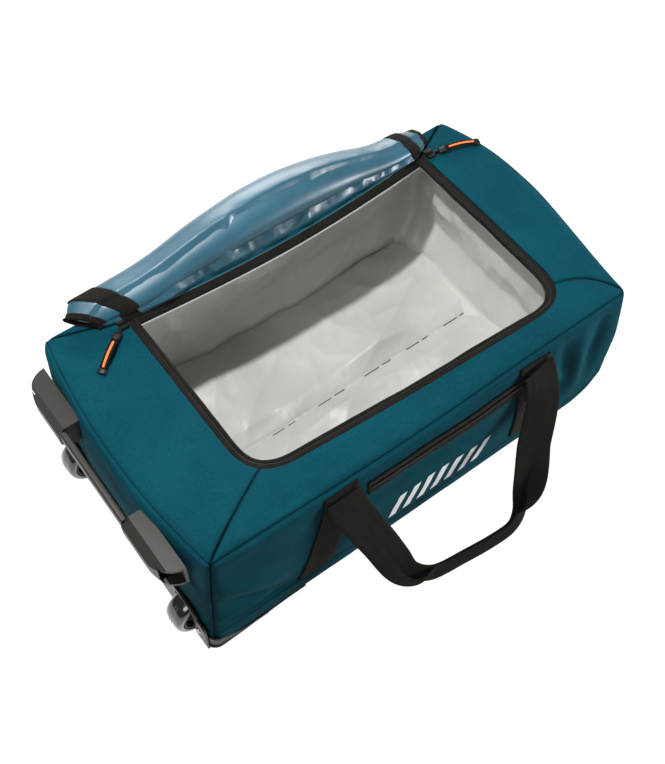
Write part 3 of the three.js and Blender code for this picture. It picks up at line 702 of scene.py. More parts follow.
# ---------------------------------------------------------------- the opening
def opening_line(count=400):
    """The edge of the opening, from the left end of the hinge, along the front, to the right end."""
    radius, slant = 60 * MM, 22 * MM
    front_left, front_right = OPEN_FRONT + slant, OPEN_FRONT

    def bend(a, b, c):
        t = np.linspace(0, 1, 24)[:, None]
        return (1 - t) ** 2 * a + 2 * t * (1 - t) * b + t**2 * c

    left = [np.array(p) for p in (
        (OPEN_LEFT, front_left + radius), (OPEN_LEFT, front_left), (OPEN_LEFT + radius, front_left - 3 * MM))]
    right = [np.array(p) for p in (
        (OPEN_RIGHT - radius, front_right + 2 * MM), (OPEN_RIGHT, front_right), (OPEN_RIGHT, front_right + radius))]
    ends = [np.array([[x, HINGE_Y + TAPE_PAST]]) for x in (OPEN_LEFT, OPEN_RIGHT)]
    flat = np.concatenate([ends[0], bend(*left), bend(*right), ends[1]])
    flat = np.concatenate([flat, np.zeros((len(flat), 1))], axis=1)
    line = resample(flat, 1 * MM)
    smooth = line.copy()
    for _ in range(30):
        smooth[1:-1] = (smooth[:-2] + 2 * smooth[1:-1] + smooth[2:]) / 4
    at = np.linspace(0, len(smooth) - 1, count)
    return np.stack([np.interp(at, np.arange(len(smooth)), smooth[:, k]) for k in range(3)], axis=1)


EDGE = opening_line()
EDGE_WAY = np.gradient(EDGE, axis=0)
EDGE_WAY /= np.linalg.norm(EDGE_WAY, axis=1, keepdims=True)
EDGE_OUT = np.stack([EDGE_WAY[:, 1], -EDGE_WAY[:, 0], EDGE_WAY[:, 2]], axis=1)


def hinge_line(x):
    """Where the lid is sewn on: it bows forwards in the middle."""
    half = (OPEN_RIGHT - OPEN_LEFT) / 2
    return HINGE_Y - 3 * MM + 11 * MM * ((x - OPEN_LEFT - half) / half) ** 2


def edge_height(x, y):
    """The rim of the opening dips a little in the middle of the front and of the hinge."""
    front = 4 * MM * np.exp(-(((x + 0.02) / 0.14) ** 2)) * (y < 0)
    back = 5 * MM * np.exp(-(((x - 0.02) / 0.16) ** 2)) * (y > 0.1)
    return TOP - 0.5 * MM - front - back


def edge_point(s, offset=0.0, lift=0.0):
    """A point on the opening's edge: s runs from 0 to 1, offset is outwards."""
    at = np.clip(s, 0, 1) * (len(EDGE) - 1)
    pick = lambda table: np.stack([np.interp(at, np.arange(len(EDGE)), table[:, k]) for k in range(3)], axis=-1)
    place_ = pick(EDGE) + pick(EDGE_OUT) * np.asarray(offset)[..., None]
    place_[..., 2] = edge_height(place_[..., 0], place_[..., 1]) + lift
    return place_


def edge_share(test):
    return float(np.argmax(test(EDGE))) / (len(EDGE) - 1)


FRONT_LEFT = edge_share(lambda e: e[:, 0] > -0.213)
FRONT_RIGHT = edge_share(lambda e: (e[:, 0] > 0.1) & (e[:, 0] > 0.2555))


# ---------------------------------------------------------------- fabric body
# the seam of the pocket panel, which slants from the wheel-end corner down to the foot of the strap
SLANT_SEAM = (-0.352, 0.176), (-0.294, 0.115), (-0.222, 0.074)


def slant_marks(p):
    """How close a point of the front is to its slanting seam, from 0 to 1."""
    strength = np.zeros(p.shape[:-1])
    for (x0, z0), (x1, z1) in zip(SLANT_SEAM[:-1], SLANT_SEAM[1:]):
        away = crease(p * np.array([1, 0, 1]), (x0, 0, z0), (x1, 0, z1), 2.0 * MM, 1, False)
        strength = np.maximum(strength, away)
    return strength * (p[..., 1] < 0)


def seam_puckers(p, away):
    """Small gathers of the cloth next to a seam."""
    return folds(p, (0.15, 1, 1), 0.02, 2.5, seed=43) * np.exp(-((away / (26 * MM)) ** 2))


def front_relief(p):
    """Soft folds of the pocket side: slanting creases at the wheel end, an upright fold by the handle end."""
    y = -HALF_WIDTH
    lift = 3.2 * MM * folds(p, (1, 0, -0.35), 0.1, 3, seed=3)
    lift += crease(p, (-0.345, y, 0.192), (-0.23, y, 0.10), 16 * MM, 7 * MM)
    lift += 3 * MM * seam_puckers(p, np.abs(p[..., 2] - TOP))
    lift += crease(p, (-0.345, y, 0.150), (-0.24, y, 0.07), 11 * MM, -4 * MM)
    lift += crease(p, (-0.345, y, 0.078), (-0.215, y, 0.062), 7 * MM, -8 * MM)
    lift += crease(p, (-0.345, y, 0.098), (-0.25, y, 0.078), 9 * MM, 5 * MM)
    lift += crease(p, (-0.32, y, 0.225), (-0.22, y, 0.17), 14 * MM, -4 * MM)
    lift += crease(p, (0.225, y, 0.23), (0.245, y, 0.09), 13 * MM, -8 * MM)
    lift += crease(p, (0.255, y, 0.235), (0.265, y, 0.08), 11 * MM, 5 * MM)
    lift += crease(p, (0.292, y, 0.24), (0.29, y, 0.09), 13 * MM, -8 * MM)
    lift += crease(p, (0.205, y, 0.14), (0.25, y, 0.07), 10 * MM, -6 * MM)
    lift += crease(p, (0.21, y, 0.165), (0.24, y, 0.12), 8 * MM, 4 * MM)
    lift += crease(p, (-0.1, y, 0.17), (0.14, y, 0.15), 16 * MM, -3 * MM)
    return lift


def back_relief(p):
    y = HALF_WIDTH
    lift = 3.4 * MM * folds(p, (1, 0, -0.3), 0.1, 3, seed=9)
    lift += crease(p, (-0.31, y, 0.2), (-0.15, y, 0.12), 14 * MM, -6 * MM)
    lift += crease(p, (-0.33, y, 0.13), (-0.12, y, 0.09), 12 * MM, -6 * MM)
    lift += crease(p, (0.3, y, 0.22), (0.2, y, 0.1), 16 * MM, -6 * MM)
    lift += crease(p, (0.25, y, 0.23), (0.28, y, 0.08), 13 * MM, -6 * MM)
    return lift


def end_relief(seed):
    return lambda p: 3.2 * MM * folds(p, (0.2, 1, 0.5), 0.09, 3, seed=seed)


def top_relief(p):
    lift = 2.4 * MM * folds(p, (0.5, 1, 0), 0.12, 3, seed=21)
    lift += 3 * MM * seam_puckers(p, p[..., 1] + HALF_WIDTH)
    lift += crease(p, (-0.3, -0.05, TOP), (-0.24, 0.08, TOP), 16 * MM, -3 * MM)
    lift += crease(p, (-0.31, -0.15, TOP), (-0.245, -0.02, TOP), 14 * MM, -3 * MM)
    lift += crease(p, (-0.33, 0.17, TOP), (-0.265, 0.12, TOP), 12 * MM, -7 * MM)
    lift += crease(p, (-0.34, 0.13, TOP), (-0.28, 0.11, TOP), 14 * MM, 4 * MM)
    lift += crease(p, (0.3, -0.12, TOP), (0.275, 0.06, TOP), 14 * MM, -4 * MM)
    lift += crease(p, (0.33, -0.1, TOP), (0.34, 0.1, TOP), 14 * MM, 4 * MM)
    lift += crease(p, (-0.06, -0.19, TOP), (-0.03, -0.165, TOP), 8 * MM, -3 * MM)
    lift += crease(p, (0.04, -0.19, TOP), (0.02, -0.165, TOP), 7 * MM, -2.5 * MM)
    # the cloth is held flat along the zip, where the slider and its pull pass
    from_zip = np.minimum(np.abs(p[..., 0] - OPEN_LEFT), np.abs(p[..., 0] - OPEN_RIGHT))
    return lift - np.maximum(lift, 0) * np.clip(1.6 - from_zip / (30 * MM), 0, 1)


def gusset_height(x):
    """The bottom gusset is sewn to the long sides a few centimetres up, less near the handle end."""
    return side_bottom(x) + 42 * MM - 16 * MM * (x + HALF_LENGTH) / (2 * HALF_LENGTH)


def gusset_marks(p):
    away = p[..., 2] - gusset_height(p[..., 0])
    return np.exp(-((away / (2.2 * MM)) ** 2))


def front_marks(p):
    return np.maximum(gusset_marks(p), 0.8 * slant_marks(p))


def wheel_end_surface(U, V):
    y = (2 * U - 1) * (HALF_WIDTH - INSET)
    top = wheel_end_seam(y)
    bottom = line3(KICK_X + INSET, y, BOTTOM + INSET)
    out = bottom + (top - bottom) * V[..., None]
    out[..., 0] -= crown(y) * 7 * MM * np.sin(np.pi * np.clip((V - 0.35) / 0.65, 0, 1))
    return out


def handle_end_surface(U, V):
    """From the flat bottom, round the corner and up to the top seam."""
    y = (2 * U - 1) * (HALF_WIDTH - INSET)
    top = handle_end_seam(y)
    radius = CORNER - INSET
    turn = np.clip(V / 0.35, 0, 1) * math.pi / 2
    x_low = HALF_LENGTH - CORNER + radius * np.sin(turn)
    z_low = BOTTOM + CORNER - radius * np.cos(turn)
    rise = np.clip((V - 0.35) / 0.65, 0, 1)
    swell = crown(y) * 8 * MM * np.sin(np.pi * np.clip(rise, 0, 1))
    x = x_low + (top[..., 0] - x_low) * np.where(rise > 0, np.sin(rise * math.pi / 2), 0) + swell
    x = x + corner_bow(rise)
    z = z_low + (top[..., 2] - z_low) * rise
    return line3(x, y, z)


def outside_housings(p):
    """Leaves out what the wheel housings fill."""
    tall = high("wheel_housing_front").z + 1 * MM
    kept = np.ones(p.shape[:-1], bool)
    for node in ("wheel_housing_front", "wheel_housing_back"):
        across = (p[..., 1] > low(node).y - 2 * MM) & (p[..., 1] < high(node).y + 2 * MM)
        kept &= ~(across & (p[..., 2] < tall) & (p[..., 0] < high(node).x + 2 * MM))
    return kept


def outside_bezel(p):
    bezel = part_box("handle_bezel")
    near = (np.abs(p[..., 1]) < bezel[1].y - 6 * MM) & (p[..., 2] < bezel[1].z - 5 * MM)
    return ~(near & (p[..., 0] > bezel[0].x - 26 * MM))


def bottom_surface(U, V):
    y = (2 * V - 1) * (HALF_WIDTH - INSET)
    x = (KICK_X + INSET) + (HALF_LENGTH - CORNER - KICK_X - INSET) * U
    return line3(x, y, BOTTOM + INSET)


# how far the middle of each front mitre seam stands off the straight line between its ends
FRONT_LEFT_BOW = np.array([-6, -2, 3]) * MM
FRONT_RIGHT_BOW = np.array([4, 9, 5]) * MM


def mitre_bow(V, left, right):
    """The front mitres' bow, where left and right say how near a point is to each of them."""
    arch = np.sin(np.pi * V)
    return (arch * left**4)[..., None] * FRONT_LEFT_BOW + (arch * right**4)[..., None] * FRONT_RIGHT_BOW


def top_front_surface(U, V):
    limit = HALF_LENGTH - INSET
    outer = top_seam(-1, -limit + 2 * limit * U)
    inner = edge_point(FRONT_LEFT + (FRONT_RIGHT - FRONT_LEFT) * U, 1 * MM)
    return outer + (inner - outer) * V[..., None] + mitre_bow(V, 1 - U, U)


def top_wheel_end_surface(U, V):
    limit = HALF_WIDTH - INSET
    outer = wheel_end_seam(limit - 2 * limit * U)
    inner = edge_point(FRONT_LEFT * U, 1 * MM)
    return outer + (inner - outer) * V[..., None] + mitre_bow(V, U, 0 * U)


def top_handle_end_surface(U, V):
    limit = HALF_WIDTH - INSET
    outer = handle_end_seam(-limit + 2 * limit * U)
    inner = edge_point(FRONT_RIGHT + (1 - FRONT_RIGHT) * U, 1 * MM)
    return outer + (inner - outer) * V[..., None] + mitre_bow(V, 0 * U, 1 - U)


def top_back_surface(U, V):
    limit = HALF_LENGTH - INSET
    outer = top_seam(1, limit - 2 * limit * U)
    x = OPEN_RIGHT + (OPEN_LEFT - OPEN_RIGHT) * U
    inner = line3(x, hinge_line(x), edge_height(x, HINGE_Y))
    return outer + (inner - outer) * V[..., None]


def make_body(teal, board):
    """Returns the front cloth, which other pieces are laid on."""
    ends = [
        ("front_cloth", long_side(-1), 150, 70, (0, -1, 0), "RrRR", front_relief, None, front_marks),
        ("back_cloth", long_side(1), 150, 70, (0, 1, 0), "RrRR", back_relief, None, gusset_marks),
        ("wheel_end_cloth", wheel_end_surface, 96, 64, (-1, 0, 0), "rrrr", end_relief(31), outside_housings, None),
        ("handle_end_cloth", handle_end_surface, 96, 90, (1, 0, 0), "RR-r", end_relief(37), outside_bezel, None),
    ]
    pieces = []
    for name, surface, nu, nv, way, edges, relief, keep, marks in ends:
        piece = panel(name, surface, nu, nv, way, teal, edges, relief, keep, marks)
        pieces.append(place(piece, "body_fabric", [name.replace("cloth", "panel")]))
    skin = panel("bottom_skin", bottom_surface, 150, 96, (0, 0, -1), board, "r-rr", None, outside_housings)
    place(skin, "bottom_board", ["bottom_panel"])
    tops = [
        ("top_front_panel", top_front_surface, 150, "ssrf"),
        ("top_wheel_end_panel", top_wheel_end_surface, 100, "ssrf"),
        ("top_handle_end_panel", top_handle_end_surface, 100, "ssrf"),
        ("top_back_panel", top_back_surface, 120, "ssrf"),
    ]
    for node, surface, nu, edges in tops:
        piece = panel(node.replace("panel", "cloth"), surface, nu, 30, (0, 0, 1), teal, edges, top_relief)
        place(piece, "body_fabric", [node])
    return pieces[0], pieces[1]


# ---------------------------------------------------------------- zips
def edge_out(s):
    share = np.linspace(0, 1, len(EDGE))
    return np.stack([np.interp(s, share, EDGE_OUT[:, k]) for k in range(3)], axis=1)


def make_main_zip(tape, teeth_look, pale):
    steps = 620
    s = np.linspace(0, 1, steps + 1)
    up = np.tile([0.0, 0.0, 1.0], (steps + 1, 1))
    # across and up, in millimetres: a raised outer hem, the flat tape, a groove and the inner edge turned down
    profile = [(7, -1.6), (7.2, 0.8), (6.2, 1.9), (4.4, 2.1), (3.2, 1.0), (0.5, 0.9), (-3.2, 1.5), (-4.2, 0.6),
               (-6.4, 0.2), (-7.6, 1.3), (-10.4, 1.1), (-11.6, -0.6), (-12, -3.6), (-11, -3.6), (-10.4, -1.4),
               (-4, -1.2), (4, -0.8)]
    line = edge_point(s, -1 * MM, 1.0 * MM)
    line += edge_out(s) * (2.0 * MM * (smooth_noise(line / 0.035, 63) - 0.5))[:, None]
    line[:, 2] += 1.4 * MM * (smooth_noise(line / 0.03, 61) - 0.5)
    band = sweep("main_zip_band", line, up, edge_out(s), [(a * MM, b * MM) for a, b in profile], tape)
    place(band, "zip_tape", ["main_zip_tape"])

    s = np.linspace(0.004, 0.996, 760)
    up = np.tile([0.0, 0.0, 1.0], (len(s), 1))
    tooth = lambda i: round_section((1.35 if i % 2 else 0.8) * MM, 8)
    coil = sweep("main_zip_teeth", edge_point(s, -5.8 * MM, 1.6 * MM), up, edge_out(s), tooth, teeth_look)
    place(coil, "zip_tape")
    # a pale thread only along the front of the tape's outer edge: partly a real thread, partly a painted highlight on
    # that edge
    s = np.linspace(FRONT_LEFT - 0.04, FRONT_RIGHT + 0.02, 240)
    place(cord_line("main_zip_edge_thread_highlight", edge_point(s, 6.6 * MM, 2.0 * MM), 0.45 * MM, pale), "lining_fabric")


def make_hinge(tape, lid_look):
    """The black strip along the hinge, and the narrow root of the lid that bends where it leaves the strip."""

    def strip(U, V):
        x = OPEN_LEFT + (OPEN_RIGHT - OPEN_LEFT) * U
        y = hinge_line(x) + (14 * V - 10.5) * MM
        return line3(x, y, edge_height(x, HINGE_Y) + (2.0 - 5 * (1 - V) ** 2) * MM)

    cloth = panel("hinge_band", strip, 160, 8, (0, 0, 1), tape, "----", None, None, None, 1.0 * MM)
    place(cloth, "zip_tape", ["hinge_strip"])

    def root(U, V):
        x = ROLL_LEFT + (ROLL_RIGHT - ROLL_LEFT) * U
        return line3(x, hinge_line(x) + (6 * V - 1) * MM, edge_height(x, HINGE_Y) + (2.4 + 1.4 * V) * MM)

    flap = panel("lid_root", root, 160, 8, (0, 0, 1), lid_look, "----", None, None, None, 0.8 * MM)
    apply_modifiers(flap)
    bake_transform(flap)


def apply_modifiers(piece):
    bpy.context.view_layer.update()
    shown = piece.evaluated_get(bpy.context.evaluated_depsgraph_get())
    mesh = bpy.data.meshes.new_from_object(shown)
    piece.modifiers.clear()
    piece.data = mesh


def pull(name, root, length, way, webbing, accent, black, arch=0.0, droop=0.0):
    """A long fabric pull: a folded strap with a stripe down its middle, a moulded head and a moulded tip."""
    way = np.array(way, float) / np.linalg.norm(way)
    t = np.linspace(0, 1, 30)
    line = np.array(root, float) + way * (length * t)[:, None]
    line[:, 2] += arch * np.sin(t * math.pi) - droop * t
    up = (0, 0, 1) if abs(way[2]) < 0.5 else (0, -1, 0)
    normals, across = frames_along(line, up)
    parts = [
        ("strap", slice(0, 30), 0, (9.5, 2.6), webbing, "webbing"),
        ("stripe", slice(7, 26), 1.35, (3.0, 0.9), accent, "accent"),
        ("tip", slice(26, 30), 0.2, (11.5, 4.0), black, "black_plastic"),
        ("head", slice(0, 6), 0.3, (11.0, 4.2), black, "black_plastic"),
    ]
    pieces = []
    for part, rows, lift, (width, thick), look, slot in parts:
        path = line[rows] + normals[rows] * lift * MM
        section = flat_section(width * MM, thick * MM)
        pieces.append((sweep(f"{name}_{part}", path, normals[rows], across[rows], section, look), slot))
    return pieces


def make_sliders(webbing, accent, black):
    for side, away in (("left", -141), ("right", -17)):
        node, pull_node = "main_slider_" + side, "main_pull_" + side
        place(refined(node, black, 1.2 * MM), "black_plastic", [node], "slider_" + side)
        turn = math.radians(away)
        way = Vector((math.cos(turn), math.sin(turn), 0))
        middle = (low(node) + high(node)) / 2
        slider = Vector((middle.x, middle.y, TOP + 5 * MM))
        root = slider + way * 15.5 * MM
        pieces = pull("pull_" + side, root, 62 * MM, way, webbing, accent, black, 5 * MM, 2 * MM)
        for piece, slot in pieces:
            place(piece, slot, [pull_node] if piece.name.endswith("strap") else [], "pull_" + side)
        link = cord_line("pull_link_" + side, np.linspace(slider + way * 3 * MM, root, 8), 2.2 * MM, black)
        place(link, "black_plastic", [], "pull_" + side)


def make_pocket(tape, webbing, accent, black, front):
    """The pocket's zip, laid on the front cloth, a little slack in its middle."""
    zip_low, zip_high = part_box("pocket_zip_tape")
    middle = (zip_low.z + zip_high.z) / 2
    length = zip_high.x - zip_low.x
    height = 30 * MM

    def zip_line(x):
        return middle - 2.5 * MM * np.sin(np.pi * (x - zip_low.x) / length)

    U, V = grid(170, 14)
    x = zip_low.x + length * U
    laid = lay_on(line3(x, -0.3, zip_line(x) + (V - 0.5) * height), front, (0, 1, 0), 1.0 * MM)
    hem = np.minimum(V, 1 - V) * height
    ridge = 1.6 * MM * np.exp(-(((hem - 3 * MM) / (1.6 * MM)) ** 2))
    slot = -1.6 * MM * np.exp(-(((hem - height / 2) / (2.6 * MM)) ** 2))
    laid[..., 1] -= ridge + slot
    cloth = np.stack([run(laid, 0), run(laid, 1), 0 * x], axis=-1).reshape(-1, 3)
    # seam darkens the tape's two sewn edges: painted shade along the stitch lines
    seam = np.exp(-((hem / (1.2 * MM)) ** 2)).ravel()
    band = new_object("pocket_zip_band", laid.reshape(-1, 3), grid_faces(170, 14), tape, cloth=cloth, seam=seam)
    face_outwards(band, np.tile([0.0, -1.0, 0.0], (x.size, 1)))
    set_thickness(band, 1.2 * MM, 0)
    place(band, "zip_tape", ["pocket_zip_tape"])
    x = np.linspace(zip_low.x + 4 * MM, zip_high.x - 4 * MM, 440)
    teeth = lay_on(line3(x, -0.3, zip_line(x)), front, (0, 1, 0), 1.4 * MM)
    normals, across = frames_along(teeth, (0, -1, 0))
    tooth = lambda i: round_section((2.0 if i % 2 else 1.3) * MM, 8)
    place(sweep("pocket_zip_teeth", teeth, normals, across, tooth, black), "zip_tape")

    place(refined("pocket_slider", black, 1.0 * MM), "black_plastic", ["pocket_slider"], "slider_pocket")
    start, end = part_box("pocket_pull")
    root = ((start.x + end.x) / 2, (start.y + end.y) / 2, end.z - 4 * MM)
    pieces = pull("pocket_pull", root, end.z - start.z - 8 * MM, (0, 0, -1), webbing, accent, black)
    for piece, slot in pieces:
        place(piece, slot, ["pocket_pull"] if piece.name.endswith("strap") else [], "pull_pocket")


def make_print(ink, front):
    """A plain printed pattern: an even row of equal leaning bars."""
    count, pitch, width = 7, 24 * MM, 12 * MM
    first, bottom, top, lean = -66 * MM, 64 * MM, 112 * MM, 0.35
    for k in range(count):
        U, V = grid(4, 12)
        z = bottom + (top - bottom) * V
        x = first + pitch * k + width * U + (z - bottom) * lean
        laid = lay_on(line3(x, -0.3, z), front, (0, 1, 0), 0.35 * MM)
        cloth = np.stack([x, z, 0 * x], axis=-1).reshape(-1, 3)
        bar = new_object(f"print_bar_{k}", laid.reshape(-1, 3), grid_faces(4, 12), ink, cloth=cloth)
        face_outwards(bar, np.tile([0.0, -1.0, 0.0], (x.size, 1)))
        place(bar, "print")


# ---------------------------------------------------------------- lid
ROLL_LEFT, ROLL_RIGHT = -0.2045, 0.2445  # where the glossy cloth of the roll meets its black end bands


def smooth_step(value):
    value = np.clip(value, 0, 1)
    return value * value * (3 - 2 * value)


def roll_tip(x):
    """1 at the two free ends of the roll, where it is pressed thin, and 0 elsewhere."""
    return smooth_step((-0.222 - x) / 0.026) + smooth_step((x - 0.255) / 0.035)


def roll_size(x):
    """Half the depth of the roll: fat in the middle, thinner towards both ends."""
    main = 18.5 * np.exp(-(((x - 0.015) / 0.19) ** 2))
    return (21 + main + 5 * np.exp(-(((x + 0.23) / 0.09) ** 2))) * (1 - 0.36 * roll_tip(x)) * MM


def roll_front(x):
    """Where the roll starts, across the bag."""
    end = smooth_step((np.abs(x - 0.02) - 0.12) / 0.09)
    return hinge_line(x) + (3 - 6 * end + (6 + 6 * (x > 0)) * roll_tip(x)) * MM


def roll_slant(x):
    """How much the ends of the roll slant: the far side of a cross-section is shifted towards -X."""
    return 0.95 * smooth_step((-0.13 - x) / 0.12) + 0.3 * smooth_step((x - 0.12) / 0.12)


def roll_flatness(x):
    return 0.45 + 0.29 * np.exp(-((np.abs(x) / 0.18) ** 3))


def lid_relief(p, front):
    """Wrinkles of the glossy flap: sharp ones fanning up from the hinge, long soft ones over the top."""
    lift = 1.2 * MM * folds(p, (0.5, 0.6, 0.6), 0.11, 1.6, seed=51)
    lift += 6.0 * MM * front * ridges(p, (0.35, 0.5, 1.0), 0.04, 2.2, seed=57)
    lift += 3.0 * MM * front * ridges(p, (-0.45, 0.5, 1.0), 0.022, 2.0, seed=59)
    lift += crease(p, (-0.06, HINGE_Y, TOP + 8 * MM), (-0.03, 0.18, TOP + 56 * MM), 12 * MM, -6 * MM)
    lift += crease(p, (-0.085, HINGE_Y, TOP + 8 * MM), (-0.045, 0.18, TOP + 56 * MM), 9 * MM, 5 * MM)
    lift += crease(p, (0.02, HINGE_Y, TOP + 20 * MM), (0.17, 0.165, TOP + 26 * MM), 9 * MM, -4 * MM)
    return lift


def roll_piece(name, x0, x1, swell, material, slot, nodes, relief_share=1.0):
    """A stretch of the rolled flap. The flap leaves the hinge in a slope, goes round the roll and on inside it."""
    inner_turns = 1.35
    slope = 0.36  # the part of the first turn that is still the slope up from the hinge
    steps = max(4, int((x1 - x0) / (2.5 * MM)))
    turns = 1 + inner_turns
    around = int(84 * turns)
    U, V = grid(steps, around)
    x = x0 + (x1 - x0) * U
    t = V * turns
    a = roll_size(x) * swell
    b = a * roll_flatness(x)
    angle = math.radians(225) - 2 * math.pi * t
    shrink = 1 - 0.20 * np.clip(t - 0.55, 0, None)
    across, upright = np.cos(angle) * shrink, np.sin(angle) * shrink
    join = math.radians(225) - 2 * math.pi * slope
    share = np.clip(t / slope, 0, 1)
    bulge = 0.07 * np.sin(np.pi * share)
    on_slope = t < slope
    across = np.where(on_slope, -0.97 + (math.cos(join) + 0.97) * share - bulge, across)
    upright = np.where(on_slope, -1 + (math.sin(join) + 1) * share + bulge * 0.4, upright)
    y = roll_front(x) + roll_size(x) + a * across
    z = TOP + 1.6 * MM + roll_size(x) * roll_flatness(x) + b * upright
    z -= np.where(on_slope, 1 - share, 0) * (TOP - 1 * MM - edge_height(x, HINGE_Y))
    base = line3(x - roll_slant(x) * (y - HINGE_Y), y, z)
    leaning = np.where(on_slope, 1 - share, 0)
    out = np.stack([0 * x, across * (1 - leaning) - 0.85 * leaning, upright * (1 - leaning) + 0.53 * leaning], axis=-1)
    out /= np.linalg.norm(out, axis=-1, keepdims=True) + 1e-9
    front = np.clip(1.5 - t / 0.28, 0, 1)
    outside = np.clip((0.95 - t) * 4, 0, 1)
    from_hinge = np.clip(t / 0.05, 0, 1)
    lift = lid_relief(base, front) * outside * from_hinge * relief_share
    points = base + out * lift[..., None]
    cloth = np.stack([run(base, 0), run(base, 1), np.zeros_like(x)], axis=-1)
    piece = new_object(name, points.reshape(-1, 3), grid_faces(steps, around), material,
                       cloth=cloth.reshape(-1, 3), seam=np.zeros(x.size))
    face_outwards(piece, out.reshape(-1, 3))
    set_thickness(piece, 1.1 * MM)
    return place(piece, slot, nodes, "lid")


def make_lid(glossy, tape):
    roll_piece("lid_roll_cloth", ROLL_LEFT, ROLL_RIGHT, 1.0, glossy, "lid_fabric", ["lid_roll"])
    roll_piece("lid_tape_left", -0.225, -0.2035, 1.04, tape, "zip_tape", ["lid_zip_tape_left"], 0.4)
    roll_piece("lid_tape_right", 0.2435, 0.262, 1.04, tape, "zip_tape", ["lid_zip_tape_right"], 0.4)
    roll_piece("lid_edge_left", -0.242, -0.223, 0.97, glossy, "lid_fabric", [], 0.5)
    roll_piece("lid_edge_right", 0.260, 0.281, 0.97, glossy, "lid_fabric", [], 0.5)
    roll_piece("lid_binding_left", -0.249, -0.240, 1.02, tape, "zip_tape", [], 0.3)
    roll_piece("lid_binding_right", 0.279, 0.288, 1.02, tape, "zip_tape", [], 0.3)


# ---------------------------------------------------------------- lining
def rounded_ring(x0, x1, y0, y1, radius):
    """A closed rounded rectangle seen from above."""
    corners = [(x1 - radius, y0 + radius, -90), (x1 - radius, y1 - radius, 0),
               (x0 + radius, y1 - radius, 90), (x0 + radius, y0 + radius, 180)]
    ring = []
    for cx, cy, start in corners:
        for angle in np.radians(np.linspace(start, start + 90, 9)):
            ring.append((cx + radius * math.cos(angle), cy + radius * math.sin(angle), 0))
    return np.array(ring + ring[:1])


def ring_at(ring, angles, centre):
    """The points of a closed ring at the given bearings from a centre."""
    dense = resample(ring, 2 * MM)[:, :2] - centre
    bearing = np.arctan2(dense[:, 1], dense[:, 0])
    reach = np.interp(angles, *sorted_pair(bearing, np.linalg.norm(dense, axis=1)), period=2 * math.pi)
    return centre + np.stack([np.cos(angles), np.sin(angles)], axis=1) * reach[:, None]


def sorted_pair(a, b):
    order = np.argsort(a)
    return a[order], b[order]


def even_bearings(ring, count, centre):
    """Bearings from a centre that are evenly spaced along a ring."""
    dense = resample(ring, 2 * MM)[:, :2] - centre
    bearing = np.unwrap(np.arctan2(dense[:, 1], dense[:, 0]))
    at = np.linspace(0, len(bearing) - 1, count + 1)[:-1]
    return np.interp(at, np.arange(len(bearing)), bearing)


def lining_relief(p, hang):
    """Hanging folds, a slack belly low on the back wall and tucks where the walls meet the floor."""
    back = np.clip((p[..., 1] - 0.1) / 0.06, 0, 1)
    foot = np.exp(-(((p[..., 2] - 0.075) / 0.026) ** 2))
    tucks = 0.5 + 1.0 * smooth_noise(p * np.array([22, 3, 3]), 79)
    lift = 9 * MM * ridges(p, (0.35, 0.15, 1), 0.075, 2.4, seed=71)
    lift += 4 * MM * ridges(p, (0.8, 0.6, 1), 0.036, 2.4, seed=75)
    return lift * hang + back * foot * tucks * 21 * MM + (1 - back) * foot * 4 * MM + 0.5 * MM


def floor_relief(p):
    """Diagonal wrinkles of the floor, flat along its middle seam."""
    lift = 17 * MM * ridges(p, (1, 1.2, 0), 0.12, 2.4, seed=81)
    lift += 8 * MM * ridges(p, (1, -0.8, 0), 0.075, 2.4, seed=85)
    lift += 1.2 * MM * ridges(p, (0.3, 1, 0), 0.03, 2, seed=87)
    seam_line = np.abs(p[..., 1] - 3 * MM)
    groove = 2.5 * MM * np.exp(-((seam_line / (3 * MM)) ** 2))
    pucker = 1.6 * MM * ridges(p, (0.1, 1, 0), 0.014, 2.5, seed=89) * np.exp(-((seam_line / (14 * MM)) ** 2))
    return 3.5 * MM + lift * np.clip(seam_line / (26 * MM), 0.15, 1) + pucker - groove


